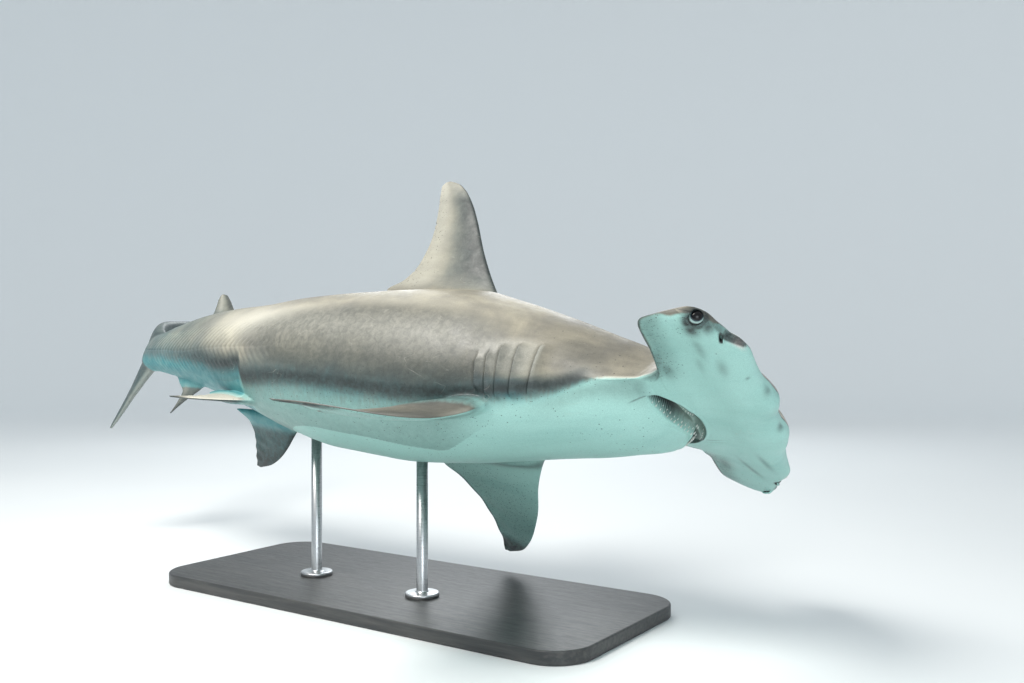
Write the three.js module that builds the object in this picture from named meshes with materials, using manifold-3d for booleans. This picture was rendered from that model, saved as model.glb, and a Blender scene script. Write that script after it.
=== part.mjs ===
// A great hammerhead shark as a still, life-size display model on a plain stand, turning and
// banked as it swims. Millimetres, +X towards the head, +Z up, the animal's right side at -Y,
// the origin on the floor under the middle of the stand's base.
import * as THREE from "three";
import { mergeVertices } from "three/addons/utils/BufferGeometryUtils.js";
import Module from "manifold-3d";

const wasm = await Module();
wasm.setup();

// Driving dimensions. Every place on the animal is a share of its total length: how far back
// along the spine, how far to the left of it and how far above it, before the spine is bent.
const TOTAL_LENGTH = 3400;
const GAP = 0.3; // between neighbours that touch
const SPINE_MARK = 0.3; // the share of the length at which the spine passes SPINE_PLACE
const SPINE_PLACE = new THREE.Vector3(170, -75, 650);
const EDGE = 0.8; // the thinnest trailing edge of a fin

// How the spine turns: the share of the length, then degrees. Yaw turns the body to its left,
// pitch raises the nose, and roll lifts the left side, so a negative roll lifts the right.
const YAW = [
  [0, 8], [0.15, 5], [0.3, 0], [0.45, -5.2], [0.58, -7.2], [0.68, -8.5], [0.75, -26], [0.82, -41],
  [0.92, -50], [1.02, -59],
];
const PITCH = [
  [0, -3.3], [0.15, -3.4], [0.3, -4.6], [0.45, -4], [0.58, -1], [0.72, 2], [0.82, 17], [0.92, 21], [1.02, 21],
];
const ROLL = [
  [0, -32], [0.3, -23.2], [0.5, -23.6], [0.68, -22.6], [0.76, -23.4], [0.84, -32], [0.92, -35], [1.02, -35],
];

// The trunk: half widths, and heights of the back and depths of the belly from the spine.
const HALF_WIDTH = [
  [0.08, 0.056], [0.09, 0.0548], [0.1, 0.053], [0.12, 0.0512], [0.14, 0.0515], [0.17, 0.0555], [0.2, 0.06],
  [0.26, 0.066], [0.32, 0.068], [0.38, 0.066], [0.44, 0.061], [0.5, 0.053], [0.56, 0.043], [0.62, 0.032],
  [0.67, 0.022], [0.715, 0.014], [0.745, 0.0085],
];
const BACK_HEIGHT = [
  [0, 0.011], [0.03, 0.0165], [0.05, 0.0215], [0.07, 0.0272], [0.09, 0.0312], [0.12, 0.0395], [0.16, 0.052],
  [0.2, 0.0628], [0.23, 0.0695], [0.26, 0.0748], [0.32, 0.0716], [0.38, 0.0654], [0.44, 0.0582], [0.5, 0.0484],
  [0.56, 0.044], [0.62, 0.0375], [0.67, 0.0293], [0.712, 0.0215], [0.745, 0.0235],
];
const BELLY_DEPTH = [
  [0, 0.009], [0.05, 0.0172], [0.07, 0.0212], [0.08, 0.0262], [0.09, 0.0316], [0.1, 0.0364], [0.12, 0.0406],
  [0.16, 0.0466], [0.2, 0.0538], [0.26, 0.0643], [0.32, 0.0705], [0.38, 0.0706], [0.44, 0.0645], [0.5, 0.0535],
  [0.56, 0.0422], [0.62, 0.0325], [0.67, 0.0248], [0.712, 0.0205], [0.745, 0.0215],
];

// The hammer seen from above: how far back its front and rear margins lie at each distance from
// the middle. The front has the notch in the middle and the one in front of each nostril.
const TIP = 0.1355; // half the hammer's span
const SNOUT = 0.0135; // how far back the front margin lies on average
const FRONT_MARGIN = [
  [0, 0.0165], [0.008, 0.0158], [0.016, 0.0135], [0.0235, 0.0125], [0.031, 0.0138], [0.04, 0.0157],
  [0.05, 0.0186], [0.067, 0.0199], [0.0855, 0.0203], [0.097, 0.0236], [0.1045, 0.0287], [0.11, 0.0308],
  [0.1175, 0.0342], [0.126, 0.0372], [0.131, 0.0412], [0.134, 0.0462], [TIP, 0.0525],
];
const REAR_MARGIN = [
  [0, 0.118], [0.02, 0.114], [0.035, 0.106], [0.048, 0.095], [0.0555, 0.0875], [0.0605, 0.0842],
  [0.067, 0.0825], [0.0745, 0.0824], [0.093, 0.0828], [0.1043, 0.0827], [0.1155, 0.0822], [0.1215, 0.081],
  [0.1265, 0.0782], [0.1298, 0.0725], [0.1323, 0.065], [TIP, 0.053],
];
const WING_HALF_THICKNESS = [[0, 0.0085], [0.06, 0.0072], [0.095, 0.0062], [0.12, 0.006], [TIP, 0.006]];
const CROWN_HALF_WIDTH = 0.092; // how far out the head's middle swells above and below the wings
const NOSE_ROUNDING = 0.03; // the depth over which the front edge rounds to full height
const FILLET = 1.6; // how softly the swelling runs into the wings
// How far the middle swells below the wings in front of the mouth, where it is nearly flat.
const UNDERSIDE = [
  [0, 0.006], [0.03, 0.007], [0.05, 0.0045], [0.064, 0.0045], [0.075, 0.0035], [0.085, 0.0045],
  [0.0955, 0.0125], [0.13, 0.02],
];
const BLADE_DROP = 0.004; // how far the hammer's edge lies below the spine's level
const RIDGE_DROP = 0.009; // the same for the ridge that runs on from it along the head's sides

// Gill slits on each side: how far back each one's foot lies and the levels of its lower and
// upper ends. They fan out towards their tops.
const SLITS = [0.1778, 0.191, 0.2016, 0.2097, 0.2172];
const SLIT_ENDS = [
  [-0.0224, 0.0139], [-0.0247, 0.0123], [-0.0264, 0.0098], [-0.0268, 0.0033], [-0.0228, -0.0009],
];
const SLIT_FAN = 0.185;
const FAN_START = 0.149; // between here and FAN_END the skin slides with the slits
const FAN_MIDDLE = 0.1935;
const FAN_END = 0.231;
const SLIT_FOOT = -0.023;
const SLIT_HEIGHT = 0.037;
const FLAP_RISE = 0.003; // how far each flap's rear edge stands out over its slit
const FLAP_LENGTH = 0.0135; // of the first flap, and of the fade behind the last

// The mouth on the underside of the head: upper lip and lower jaw edge, front and corners.
const MOUTH_HALF_WIDTH = 0.0415;
const UPPER_LIP = 0.0656;
const JAW_FRONT = 0.0722;
const MOUTH_CORNER = 0.0955;
const JAW_DROP = 0.0078; // how far the open jaw's front edge hangs below the upper lip
const JAW_ROLL = 0.02; // the length over which the jaw swells back from its edge into the throat

const degrees = (angle) => THREE.MathUtils.degToRad(angle);
const clamp01 = (x) => Math.min(1, Math.max(0, x));
const mix = THREE.MathUtils.lerp;
const smooth = (from, to, x) => {
  const t = clamp01((x - from) / (to - from));
  return t * t * (3 - 2 * t);
};

// A smooth curve through [x, y] pairs that never overshoots them.
function curve(pairs) {
  const last = pairs.length - 1;
  const step = (i) => pairs[i + 1][0] - pairs[i][0];
  const slope = (i) => (pairs[i + 1][1] - pairs[i][1]) / step(i);
  const tangents = pairs.map((_, i) => {
    if (i === 0) return slope(0);
    if (i === last) return slope(last - 1);
    const [before, after] = [slope(i - 1), slope(i)];
    if (before * after <= 0) return 0;
    const [a, b] = [2 * step(i) + step(i - 1), step(i) + 2 * step(i - 1)];
    return (a + b) / (a / before + b / after);
  });
  return (x) => {
    let i = 0;
    while (i < last - 1 && x > pairs[i + 1][0]) i += 1;
    const h = step(i);
    const t = clamp01((x - pairs[i][0]) / h);
    const rest = 1 - t;
    return (
      rest * rest * (1 + 2 * t) * pairs[i][1] +
      t * rest * rest * h * tangents[i] +
      t * t * (3 - 2 * t) * pairs[i + 1][1] -
      t * t * rest * h * tangents[i + 1]
    );
  };
}

const yawAt = curve(YAW);
const pitchAt = curve(PITCH);
const rollAt = curve(ROLL);
const halfWidthAt = curve(HALF_WIDTH);
const backAt = curve(BACK_HEIGHT);
const bellyAt = curve(BELLY_DEPTH);
const frontMargin = curve(FRONT_MARGIN);
const rearMargin = curve(REAR_MARGIN);
const wingAt = curve(WING_HALF_THICKNESS);
const undersideAt = curve(UNDERSIDE);

// The bent spine: a frame of forward, left and up at every step along it.
const SPINE_STEP = 0.0025;
const SPINE_STEPS = 408;
const spine = [];
for (let i = 0; i <= SPINE_STEPS; i += 1) {
  const share = i * SPINE_STEP;
  const turn = new THREE.Euler(degrees(rollAt(share)), -degrees(pitchAt(share)), degrees(yawAt(share)), "ZYX");
  const axes = [new THREE.Vector3(1, 0, 0), new THREE.Vector3(0, 1, 0), new THREE.Vector3(0, 0, 1)];
  const [forward, left, up] = axes.map((axis) => axis.applyEuler(turn));
  const point = new THREE.Vector3();
  if (i) {
    const before = spine[i - 1];
    const mean = before.forward.clone().add(forward).multiplyScalar((-SPINE_STEP * TOTAL_LENGTH) / 2);
    point.copy(before.point).add(mean);
  }
  spine.push({ point, forward, left, up });
}
const shift = SPINE_PLACE.clone().sub(spine[Math.round(SPINE_MARK / SPINE_STEP)].point);
for (const frame of spine) frame.point.add(shift);

// A place on the straight animal, in shares of the length, to its place on the bent one.
function place([back, left, up]) {
  const at = Math.max(0, back / SPINE_STEP);
  const i = Math.min(SPINE_STEPS - 1, Math.floor(at));
  const t = at - i;
  const between = (name) => spine[i][name].clone().lerp(spine[i + 1][name], t);
  return between("point")
    .addScaledVector(between("left"), left * TOTAL_LENGTH)
    .addScaledVector(between("up"), up * TOTAL_LENGTH);
}

// Half thickness along a chord, from the round front edge at 0 to the sharp rear edge at 1.
function foil(x) {
  return Math.max(0, 10 * (0.2969 * Math.sqrt(x) - 0.126 * x - 0.3516 * x * x + 0.2843 * x ** 3 - 0.1036 * x ** 4));
}
const softMax = (a, b, power) => (a ** power + b ** power) ** (1 / power);

// How far from the middle the hammer reaches at a depth behind its own front margin.
const chordAt = (across) => rearMargin(across) - frontMargin(across);
function hammerReach(depth) {
  if (chordAt(0) < depth) return 0;
  let inner = 0;
  let outer = TIP;
  for (let i = 0; i < 40; i += 1) {
    const middle = (inner + outer) / 2;
    if (chordAt(middle) >= depth) inner = middle;
    else outer = middle;
  }
  return inner;
}

// Gill flaps: each rises towards its rear edge and drops into the slit behind it.
const LAST_SLIT = SLITS[SLITS.length - 1];
const SLIT_SHARE = 0.4; // how deep a slit is beside the height of its flap
function gillRise(station, up) {
  if (station <= SLITS[0] - FLAP_LENGTH || station >= LAST_SLIT + FLAP_LENGTH) return 0;
  const k = Math.min(SLITS.length - 1, SLITS.filter((slit) => slit < station - 1e-9).length);
  const [foot, top] = SLIT_ENDS[k];
  const window = smooth(foot - 0.003, foot + 0.002, up) * (1 - smooth(top - 0.004, top + 0.002, up));
  const full = FLAP_RISE * window;
  if (station > LAST_SLIT) return -SLIT_SHARE * full * (1 - smooth(LAST_SLIT, LAST_SLIT + FLAP_LENGTH, station));
  const front = k ? SLITS[k - 1] : SLITS[0] - FLAP_LENGTH;
  const along = (station - front) / (SLITS[k] - front);
  return full * (k ? (1 + SLIT_SHARE) * along - SLIT_SHARE : along ** 2);
}
function slitLean(station, up) {
  const share = clamp01((up - SLIT_FOOT) / SLIT_HEIGHT);
  const fade = smooth(FAN_START, SLITS[0], station) * (1 - smooth(LAST_SLIT, FAN_END, station));
  return SLIT_FAN * (station - FAN_MIDDLE) * share * fade;
}

// How far the widest line of a section lies below the spine's level.
function sideDrop(station, across) {
  const ridge = smooth(0.05, 0.085, station) * (1 - smooth(0.055, 0.09, Math.abs(across)));
  return mix(BLADE_DROP, RIDGE_DROP, ridge) * (1 - smooth(0.12, 0.18, station));
}

// How far back the mouth's edges lie: a blunt arch for the upper lip, a straighter one for the jaw.
const fromMiddle = (across) => clamp01(Math.abs(across) / MOUTH_HALF_WIDTH);
const upperLip = (across) => UPPER_LIP + (MOUTH_CORNER - UPPER_LIP) * (1 - (1 - fromMiddle(across) ** 2) ** 0.55);
const jawEdge = (across) => JAW_FRONT + (MOUTH_CORNER - JAW_FRONT) * fromMiddle(across) ** 1.15;

// The level of the back or of the belly over the spine's, at a depth behind the front margin: the
// head's middle swells out of the hammer's thin wings above, its underside is nearly flat, and
// behind the jaw's edge the throat rolls out of it.
function level(depth, across, upper) {
  const side = Math.min(Math.abs(across), TIP);
  const station = depth + SNOUT;
  const reach = reachAt(depth);
  const drop = sideDrop(station, across);
  const inward = clamp01(Math.abs(across) / reach);
  const wide = mix(CROWN_HALF_WIDTH, reach, smooth(0.066, 0.098, station));
  const inside = Math.max(0, 1 - (across / wide) ** 2);
  const nose = Math.sqrt(1 - (1 - clamp01(depth / NOSE_ROUNDING)) ** 2);
  const sides = mix(Math.sqrt(1 - inward ** 6), 1, smooth(0.1, 0.16, station));
  const tipRound = Math.sqrt(1 - (side / TIP) ** 22);
  const wing = wingAt(side) * foil(clamp01(depth / Math.max(1e-6, chordAt(side)))) * tipRound;
  const swollen = (height, power) => softMax(Math.max(0, height) * nose * sides * inside ** power, wing, FILLET);
  if (upper) return swollen(backAt(station) + drop, mix(1.8, 0.5, smooth(0.055, 0.125, station))) - drop;
  const throat = swollen(bellyAt(station) - drop, mix(1.4, 0.5, smooth(0.085, 0.15, station)));
  const hanging = JAW_DROP * (1 - fromMiddle(across) ** 2) * smooth(0, 0.004, station - upperLip(across));
  const flat = swollen(undersideAt(station), 0.6) + hanging;
  const behind = clamp01((station - jawEdge(across)) / JAW_ROLL);
  return -mix(flat, throat, Math.sqrt(1 - (1 - behind) ** 2)) - drop;
}
function reachAt(depth) {
  return softMax(hammerReach(depth), depth > 0.05 ? halfWidthAt(depth + SNOUT) : 0, 8);
}
const backOf = (depth, across) => {
  const hold = 1 - smooth(0.085, 0.15, depth);
  return depth + SNOUT + (frontMargin(Math.min(Math.abs(across), TIP)) - SNOUT) * hold;
};

// One point of the smooth body: the angle runs from the left side over the back, to the right
// side and under the belly.
function smoothSkin(depth, angle) {
  const reach = reachAt(depth);
  const upper = angle <= Math.PI;
  const even = upper ? 1 - (2 * angle) / Math.PI : (2 * angle) / Math.PI - 3;
  const across = reach * mix(Math.cos(angle), even, 0.62 * smooth(0.045, 0.085, reach));
  const onSide = Math.abs(Math.sin(angle)) < 1e-9;
  return [across, onSide ? -sideDrop(depth + SNOUT, across) : level(depth, across, upper)];
}
// The same point with the gills: it slides back along the body as its slit leans.
function skin(depth, angle, grow = 0) {
  const station = depth + SNOUT;
  const lean = slitLean(station, smoothSkin(depth, angle)[1]);
  const [across, up] = smoothSkin(depth + lean, angle);
  const rise = 1 + (gillRise(station, up) + grow / TOTAL_LENGTH) / Math.max(1e-4, Math.hypot(across, up));
  return [backOf(depth, across) + lean, across * rise, up * rise];
}

// Solids are lofted through rings of points in the animal's own shares, then bent into place.
// Both faces are split alike and the ends are closed straight across.
function loft(rings) {
  const count = rings[0].length;
  const points = rings.flat().map((point) => place(point));
  const index = [];
  const quad = (a, b, c, d, flip) => {
    if (flip) index.push(a, b, d, b, c, d);
    else index.push(a, b, c, a, c, d);
  };
  for (let r = 0; r + 1 < rings.length; r += 1) {
    for (let j = 0; j < count; j += 1) {
      const next = (j + 1) % count;
      const [low, high] = [r * count, (r + 1) * count];
      quad(low + j, low + next, high + next, high + j, j >= count / 2);
    }
  }
  const end = (start, out) => {
    for (let j = 0; j < count / 2; j += 1) {
      const pair = [j, j + 1, (count - j - 1) % count, (count - j) % count].map((i) => start + i);
      if (out) pair.reverse();
      quad(...pair, false);
    }
  };
  end(0, true);
  end((rings.length - 1) * count, false);
  const geometry = new THREE.BufferGeometry().setFromPoints(points);
  geometry.setIndex(index);
  return toSolid(geometry);
}

// A closed three.js geometry as a solid that can be joined and cut, with its faces pointing out.
function toSolid(geometry) {
  for (const name of Object.keys(geometry.attributes)) if (name !== "position") geometry.deleteAttribute(name);
  const merged = mergeVertices(geometry, 1e-3);
  const faces = [];
  const source = merged.index.array;
  for (let i = 0; i < source.length; i += 3) {
    const [a, b, c] = [source[i], source[i + 1], source[i + 2]];
    if (a !== b && b !== c && c !== a) faces.push(a, b, c);
  }
  const at = (i) => new THREE.Vector3().fromBufferAttribute(merged.attributes.position, i);
  let volume = 0;
  for (let i = 0; i < faces.length; i += 3) {
    volume += at(faces[i]).dot(at(faces[i + 1]).cross(at(faces[i + 2])));
  }
  if (volume < 0) for (let i = 0; i < faces.length; i += 3) [faces[i], faces[i + 1]] = [faces[i + 1], faces[i]];
  const mesh = { numProp: 3, vertProperties: merged.attributes.position.array, triVerts: new Uint32Array(faces) };
  return new wasm.Manifold(new wasm.Mesh(mesh));
}

const largest = (solid) => solid.decompose().reduce((best, next) => (next.volume() > best.volume() ? next : best));

// The body's rings, as depths behind the front margin.
const RING = 50;
const angles = Array.from({ length: RING }, (_, j) => (2 * Math.PI * j) / RING);
const ringAt = (depth, grow) => angles.map((angle) => skin(depth, angle, grow));
const steps = (from, to, count) => Array.from({ length: count }, (_, i) => from + ((to - from) * (i + 1)) / count);
const NECK_START = 0.1355;
const GILLS_END = 0.2175;
const TORSO_SPLIT = 0.3855;
const TAIL_START = 0.5605;
const BODY_END = 0.7305;
const noseRings = Array.from({ length: 12 }, (_, i) => 0.045 * (i / 11) ** 1.9);
const rearRings = Array.from({ length: 9 }, (_, i) => chordAt(0.128 - (0.078 * i) / 8));
const gillRings = SLITS.flatMap((slit) => [slit - SNOUT - 0.005, slit - SNOUT, slit - SNOUT + 0.0006]);
const DEPTHS = [
  ...noseRings, ...rearRings, ...steps(0.079, NECK_START, 8), 0.146, 0.1525, ...gillRings,
  ...steps(0.205, GILLS_END, 2),
  ...steps(GILLS_END, TORSO_SPLIT, 10), ...steps(TORSO_SPLIT, TAIL_START, 10),
  ...steps(TAIL_START, BODY_END, 12),
];
function bodyPart(from, to, grow = 0) {
  const seam = GAP / TOTAL_LENGTH;
  const first = from ? from + seam : 0;
  const inside = DEPTHS.filter((depth) => depth > first + seam && depth < to - seam);
  return loft([first, ...inside, to].map((depth) => ringAt(depth, grow)));
}
// The whole body, a little larger all round, which the fins and rods are cut back to.
const CLEARANCE = 1.5 * GAP;
const grown = bodyPart(0, BODY_END + CLEARANCE / TOTAL_LENGTH, CLEARANCE);

// Fins: rows of [front edge back, out, rear edge back, out] from the root to the tip, in a plane
// that leaves the body at an angle, with the section's thickness. The fin may bend, curl and twist
// towards its tip, droop at its rear inner corner and swing forward about its root.
const SECTION = 9; // points along each face of a fin's section
function fin({ rows, root, angle, thick, taper = 0.8, count = 12, ...pose }) {
  const { bend = 0, curl = 0, droop = 0, swing = 0, twist = 0 } = pose;
  const columns = [0, 1, 2, 3].map((c) => curve(rows.map((row, i) => [i / (rows.length - 1), row[c]])));
  const [acrossRoot, upRoot] = root;
  const outward = [Math.cos(degrees(angle)), Math.sin(degrees(angle))];
  const normal = [-outward[1], outward[0]];
  const span = rows[rows.length - 1][1];
  const pivot = (rows[0][0] + rows[0][2]) / 2;
  const rings = Array.from({ length: count }, (_, i) => {
    const r = i / (count - 1);
    const [frontBack, frontOut, rearBack, rearOut] = columns.map((column) => column(r));
    return Array.from({ length: 2 * SECTION }, (__, j) => {
      const side = j <= SECTION ? 1 : -1;
      const turn = (Math.PI * (side > 0 ? j : 2 * SECTION - j)) / SECTION;
      const p = (1 - Math.cos(turn)) / 2;
      const out = frontOut + (rearOut - frontOut) * p;
      const body = thick * (1 - taper * r) * foil(Math.min(p, 0.995));
      const half = j % SECTION ? Math.max(body, EDGE / 2 / TOTAL_LENGTH) : 0;
      const w = Math.max(0, out / span);
      const twisted = Math.tan(degrees(twist) * w) * (p - 0.5) * (rearBack - frontBack);
      const lift = side * half + (bend * w ** 2 + curl * w ** 3) * span - droop * p * (1 - w) ** 2 + twisted;
      const fromPivot = mix(frontBack, rearBack, p) - pivot;
      const swung = out * Math.cos(degrees(swing)) + fromPivot * Math.sin(degrees(swing));
      return [
        pivot + fromPivot * Math.cos(degrees(swing)) - out * Math.sin(degrees(swing)),
        acrossRoot + outward[0] * swung + normal[0] * lift,
        upRoot + outward[1] * swung + normal[1] * lift,
      ];
    });
  });
  return loft(rings);
}
// The same fin on the other side, held in its own pose and at its own size.
function mirrored(spec, { size = 1, ...pose }) {
  const start = spec.rows[0][0];
  const sized = ([front, out, rear, rearOut]) => [front, out, rear, rearOut].map((value, i) =>
    i % 2 ? value * size : start + (value - start) * size);
  const turned = { ...spec, ...pose, rows: spec.rows.map(sized), root: [-spec.root[0], spec.root[1]] };
  for (const name of ["bend", "curl", "droop", "twist"]) turned[name] = -(turned[name] ?? 0);
  return turned;
}
const rooted = (solid) => largest(solid.subtract(grown));

const PECTORAL = {
  root: [0.05, -0.033], angle: -29, thick: 0.0038, bend: 0.02, droop: 0.005,
  rows: [
    [0.203, 0, 0.256, 0], [0.212, 0.012, 0.285, 0.016], [0.22, 0.027, 0.325, 0.033],
    [0.229, 0.048, 0.312, 0.05], [0.238, 0.076, 0.3005, 0.077], [0.249, 0.1, 0.297, 0.1],
    [0.263, 0.124, 0.297, 0.123], [0.28, 0.142, 0.3005, 0.1405], [0.294, 0.1475, 0.3015, 0.147],
  ],
};
const RIGHT_PECTORAL = { angle: 180 + 35.6, bend: 0.355, curl: -0.064, swing: 18.1, twist: 11.6 };
const PELVIC = {
  root: [0.026, -0.05], angle: -50, thick: 0.0032, bend: 0.02,
  rows: [
    [0.458, 0, 0.515, -0.004], [0.468, 0.008, 0.567, -0.002], [0.48, 0.019, 0.549, 0.009],
    [0.494, 0.032, 0.5455, 0.022], [0.512, 0.045, 0.549, 0.036], [0.531, 0.054, 0.5535, 0.048],
    [0.55, 0.0585, 0.5565, 0.0572],
  ],
};
const RIGHT_PELVIC = { angle: 180 + 25, size: 0.78 };
const FIRST_DORSAL = {
  root: [0, 0.062], angle: 90, thick: 0.0046,
  rows: [
    [0.248, 0, 0.352, 0], [0.2639, 0.0177, 0.385, 0.0125], [0.2734, 0.0296, 0.3685, 0.0235],
    [0.2903, 0.0537, 0.357, 0.04], [0.3067, 0.0809, 0.353, 0.064], [0.3189, 0.0984, 0.3562, 0.088],
    [0.3333, 0.1135, 0.361, 0.107], [0.3437, 0.12, 0.3632, 0.117], [0.353, 0.1224, 0.3605, 0.1214],
  ],
};
const SECOND_DORSAL = {
  root: [0, 0.03], angle: 84, thick: 0.0028, count: 11,
  rows: [
    [0.5795, 0, 0.61, -0.002], [0.592, 0.0125, 0.637, 0.0055], [0.604, 0.0215, 0.634, 0.0115],
    [0.616, 0.0305, 0.6355, 0.0225], [0.627, 0.0368, 0.638, 0.0325], [0.633, 0.0378, 0.637, 0.0372],
  ],
};
const ANAL = {
  root: [0, -0.026], angle: -90, thick: 0.0028, count: 11,
  rows: [
    [0.59, 0, 0.635, 0], [0.602, 0.0125, 0.661, -0.004], [0.613, 0.0195, 0.6455, 0.008],
    [0.6255, 0.0275, 0.6345, 0.0165], [0.6365, 0.0355, 0.638, 0.0295], [0.6425, 0.0405, 0.6435, 0.0397],
  ],
};
const CAUDAL_UPPER = {
  root: [0, 0], angle: 90, thick: 0.0082, taper: 0.85, count: 16,
  rows: [
    [0.7, 0.015, 0.735, -0.014], [0.722, 0.0235, 0.776, -0.012], [0.755, 0.0345, 0.788, 0.004],
    [0.8, 0.054, 0.82, 0.022], [0.85, 0.078, 0.86, 0.043], [0.9, 0.102, 0.905, 0.0665],
    [0.935, 0.119, 0.9405, 0.092], [0.955, 0.1285, 0.965, 0.107], [0.968, 0.1345, 0.978, 0.124],
    [0.975, 0.1375, 0.9775, 0.135],
  ],
};
const CAUDAL_LOWER = {
  root: [0, 0], angle: -90, thick: 0.0072, taper: 0.85,
  rows: [
    [0.7, -0.008, 0.742, -0.012], [0.7105, 0.007, 0.777, -0.002], [0.716, 0.0205, 0.7845, 0.0125],
    [0.727, 0.0315, 0.7885, 0.0225], [0.7395, 0.0435, 0.7925, 0.034], [0.756, 0.0535, 0.797, 0.0465],
    [0.772, 0.0665, 0.8, 0.0605], [0.785, 0.0795, 0.7995, 0.0765], [0.7925, 0.087, 0.797, 0.0862],
  ],
};

// A slab of the animal's own space between two levels, to part the tail fin's lobes.
const LOBE_LEVEL = -0.0035;
function slab(upFrom, upTo) {
  const stations = steps(0.66, 1.01, 20);
  const corner = (back) => [[back, 0.06, upFrom], [back, 0.06, upTo], [back, -0.06, upTo], [back, -0.06, upFrom]];
  return loft(stations.map(corner));
}
const halfSeam = GAP / 2 / TOTAL_LENGTH;
const upperLobe = rooted(fin(CAUDAL_UPPER)).intersect(slab(LOBE_LEVEL + halfSeam, 0.3));
const lowerLobe = rooted(fin(CAUDAL_LOWER)).intersect(slab(-0.3, LOBE_LEVEL - halfSeam));

// An egg-shaped solid at a place on the animal, with its radii in millimetres.
function egg(centre, radii, segments = 12) {
  const sphere = new THREE.SphereGeometry(1, segments, Math.max(6, segments / 2));
  const position = sphere.getAttribute("position");
  for (let i = 0; i < position.count; i += 1) {
    const axes = [position.getX(i), position.getY(i), position.getZ(i)];
    const point = place(centre.map((c, k) => c + (axes[k] * radii[k]) / TOTAL_LENGTH));
    position.setXYZ(i, point.x, point.y, point.z);
  }
  return toSolid(sphere);
}

// The mouth: a pocket between the upper lip and the jaw's edge, and the jaw's own block.
const underside = (station, across) => level(station - frontMargin(Math.abs(across)), across, false);
const gumLevel = (across) => underside(jawEdge(across), across);
const LENS = 24; // points round the mouth's outline
const lens = Array.from({ length: LENS }, (_, j) => (2 * Math.PI * j) / LENS);
function mouthPocket() {
  const levels = [[-0.014, 0, 1], [0, 0, 1], [0.006, 0.003, 0.97], [0.013, 0.009, 0.86], [0.018, 0.014, 0.6]];
  return loft(
    levels.map(([rise, back, narrow]) =>
      lens.map((angle) => {
        const across = MOUTH_HALF_WIDTH * Math.cos(angle);
        const inFront = angle <= Math.PI;
        const station = inFront ? upperLip(across) + back / 2 : jawEdge(across) + back;
        return [station, across * narrow, gumLevel(across) + rise];
      }),
    ),
  );
}
const THROAT_LENGTH = 0.024; // how far the jaw's piece reaches back behind the mouth's corners
const JAW_HEIGHT = 0.016;
function jawBlock(grow) {
  const width = MOUTH_HALF_WIDTH + grow;
  return loft(
    [-0.02, JAW_HEIGHT + grow].map((rise) =>
      lens.map((angle) => {
        const across = width * Math.cos(angle);
        const throat = MOUTH_CORNER + THROAT_LENGTH * (1 - (across / width) ** 2) + grow;
        return [angle <= Math.PI ? jawEdge(across) - grow : throat, across, gumLevel(across) + rise];
      }),
    ),
  );
}

// Teeth: small pyramids along both edges of the mouth, sunk into the gum.
function tooth(station, across, up, tilt, size, pointing) {
  const cone = new THREE.ConeGeometry(0.5, 1, 4);
  const position = cone.getAttribute("position");
  for (let i = 0; i < position.count; i += 1) {
    const along = (position.getX(i) * size) / TOTAL_LENGTH;
    const thick = (position.getZ(i) * size * 0.5) / TOTAL_LENGTH;
    const rise = (position.getY(i) * 1.5 * size) / TOTAL_LENGTH;
    const turned = [station - rise * tilt + thick, across + along, up + rise * pointing];
    const point = place(turned);
    position.setXYZ(i, point.x, point.y, point.z);
  }
  return toSolid(cone);
}
const LOWER_TEETH = 19;
const UPPER_TEETH = 15;
const TOOTH_WIDTH = 11; // of the middle ones; the others are smaller towards the corners
function withTeeth(solid, count, edge, setBack, pointing, level, reach) {
  let joined = solid;
  for (let k = 0; k < count; k += 1) {
    const share = ((2 * k) / (count - 1) - 1) * reach;
    const across = MOUTH_HALF_WIDTH * share;
    const station = edge(across) + setBack;
    const size = TOOTH_WIDTH * (1 - 0.45 * share * share) * (k % 2 ? 0.9 : 1);
    const gum = underside(station, across) + level;
    joined = joined.add(tooth(station, across, gum, 0.25 * pointing, size, pointing));
  }
  return largest(joined);
}

// Eyes on the hammer's tips, each in a socket with a raised lid.
const EYE_PLACE = [0.0446, 0.1274, -0.0053];
const EYE_RADIUS = 16;
const EYE_FACING = new THREE.Vector3(0.3, 0.9, -0.32).normalize(); // forward, outward, up
const LID = { radius: 0.93 * EYE_RADIUS, thickness: 3.1, out: 5 };
const eyePlace = (side) => [EYE_PLACE[0], side * EYE_PLACE[1], EYE_PLACE[2]];
const eyeBall = (side, grow) => egg(eyePlace(side), Array(3).fill(EYE_RADIUS + grow), 16);
function lid(side) {
  const ring = new THREE.TorusGeometry(LID.radius, LID.thickness, 6, 20);
  const facing = new THREE.Vector3(-EYE_FACING.x, side * EYE_FACING.y, EYE_FACING.z);
  ring.applyQuaternion(new THREE.Quaternion().setFromUnitVectors(new THREE.Vector3(0, 0, 1), facing));
  ring.translate(...facing.clone().multiplyScalar(LID.out).toArray());
  const position = ring.getAttribute("position");
  for (let i = 0; i < position.count; i += 1) {
    const local = [position.getX(i), position.getY(i), position.getZ(i)];
    const point = place(eyePlace(side).map((c, k) => c + local[k] / TOTAL_LENGTH));
    position.setXYZ(i, point.x, point.y, point.z);
  }
  return toSolid(ring);
}

// A nostril in the notch of the front margin, with its groove running inwards along the edge.
function nostril(side) {
  const hole = egg([0.0335, side * 0.1075, -0.0075], [7, 13, 9]);
  const groove = egg([0.0272, side * 0.1022, -0.0055], [16, 12, 4]);
  return hole.add(groove);
}

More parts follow.
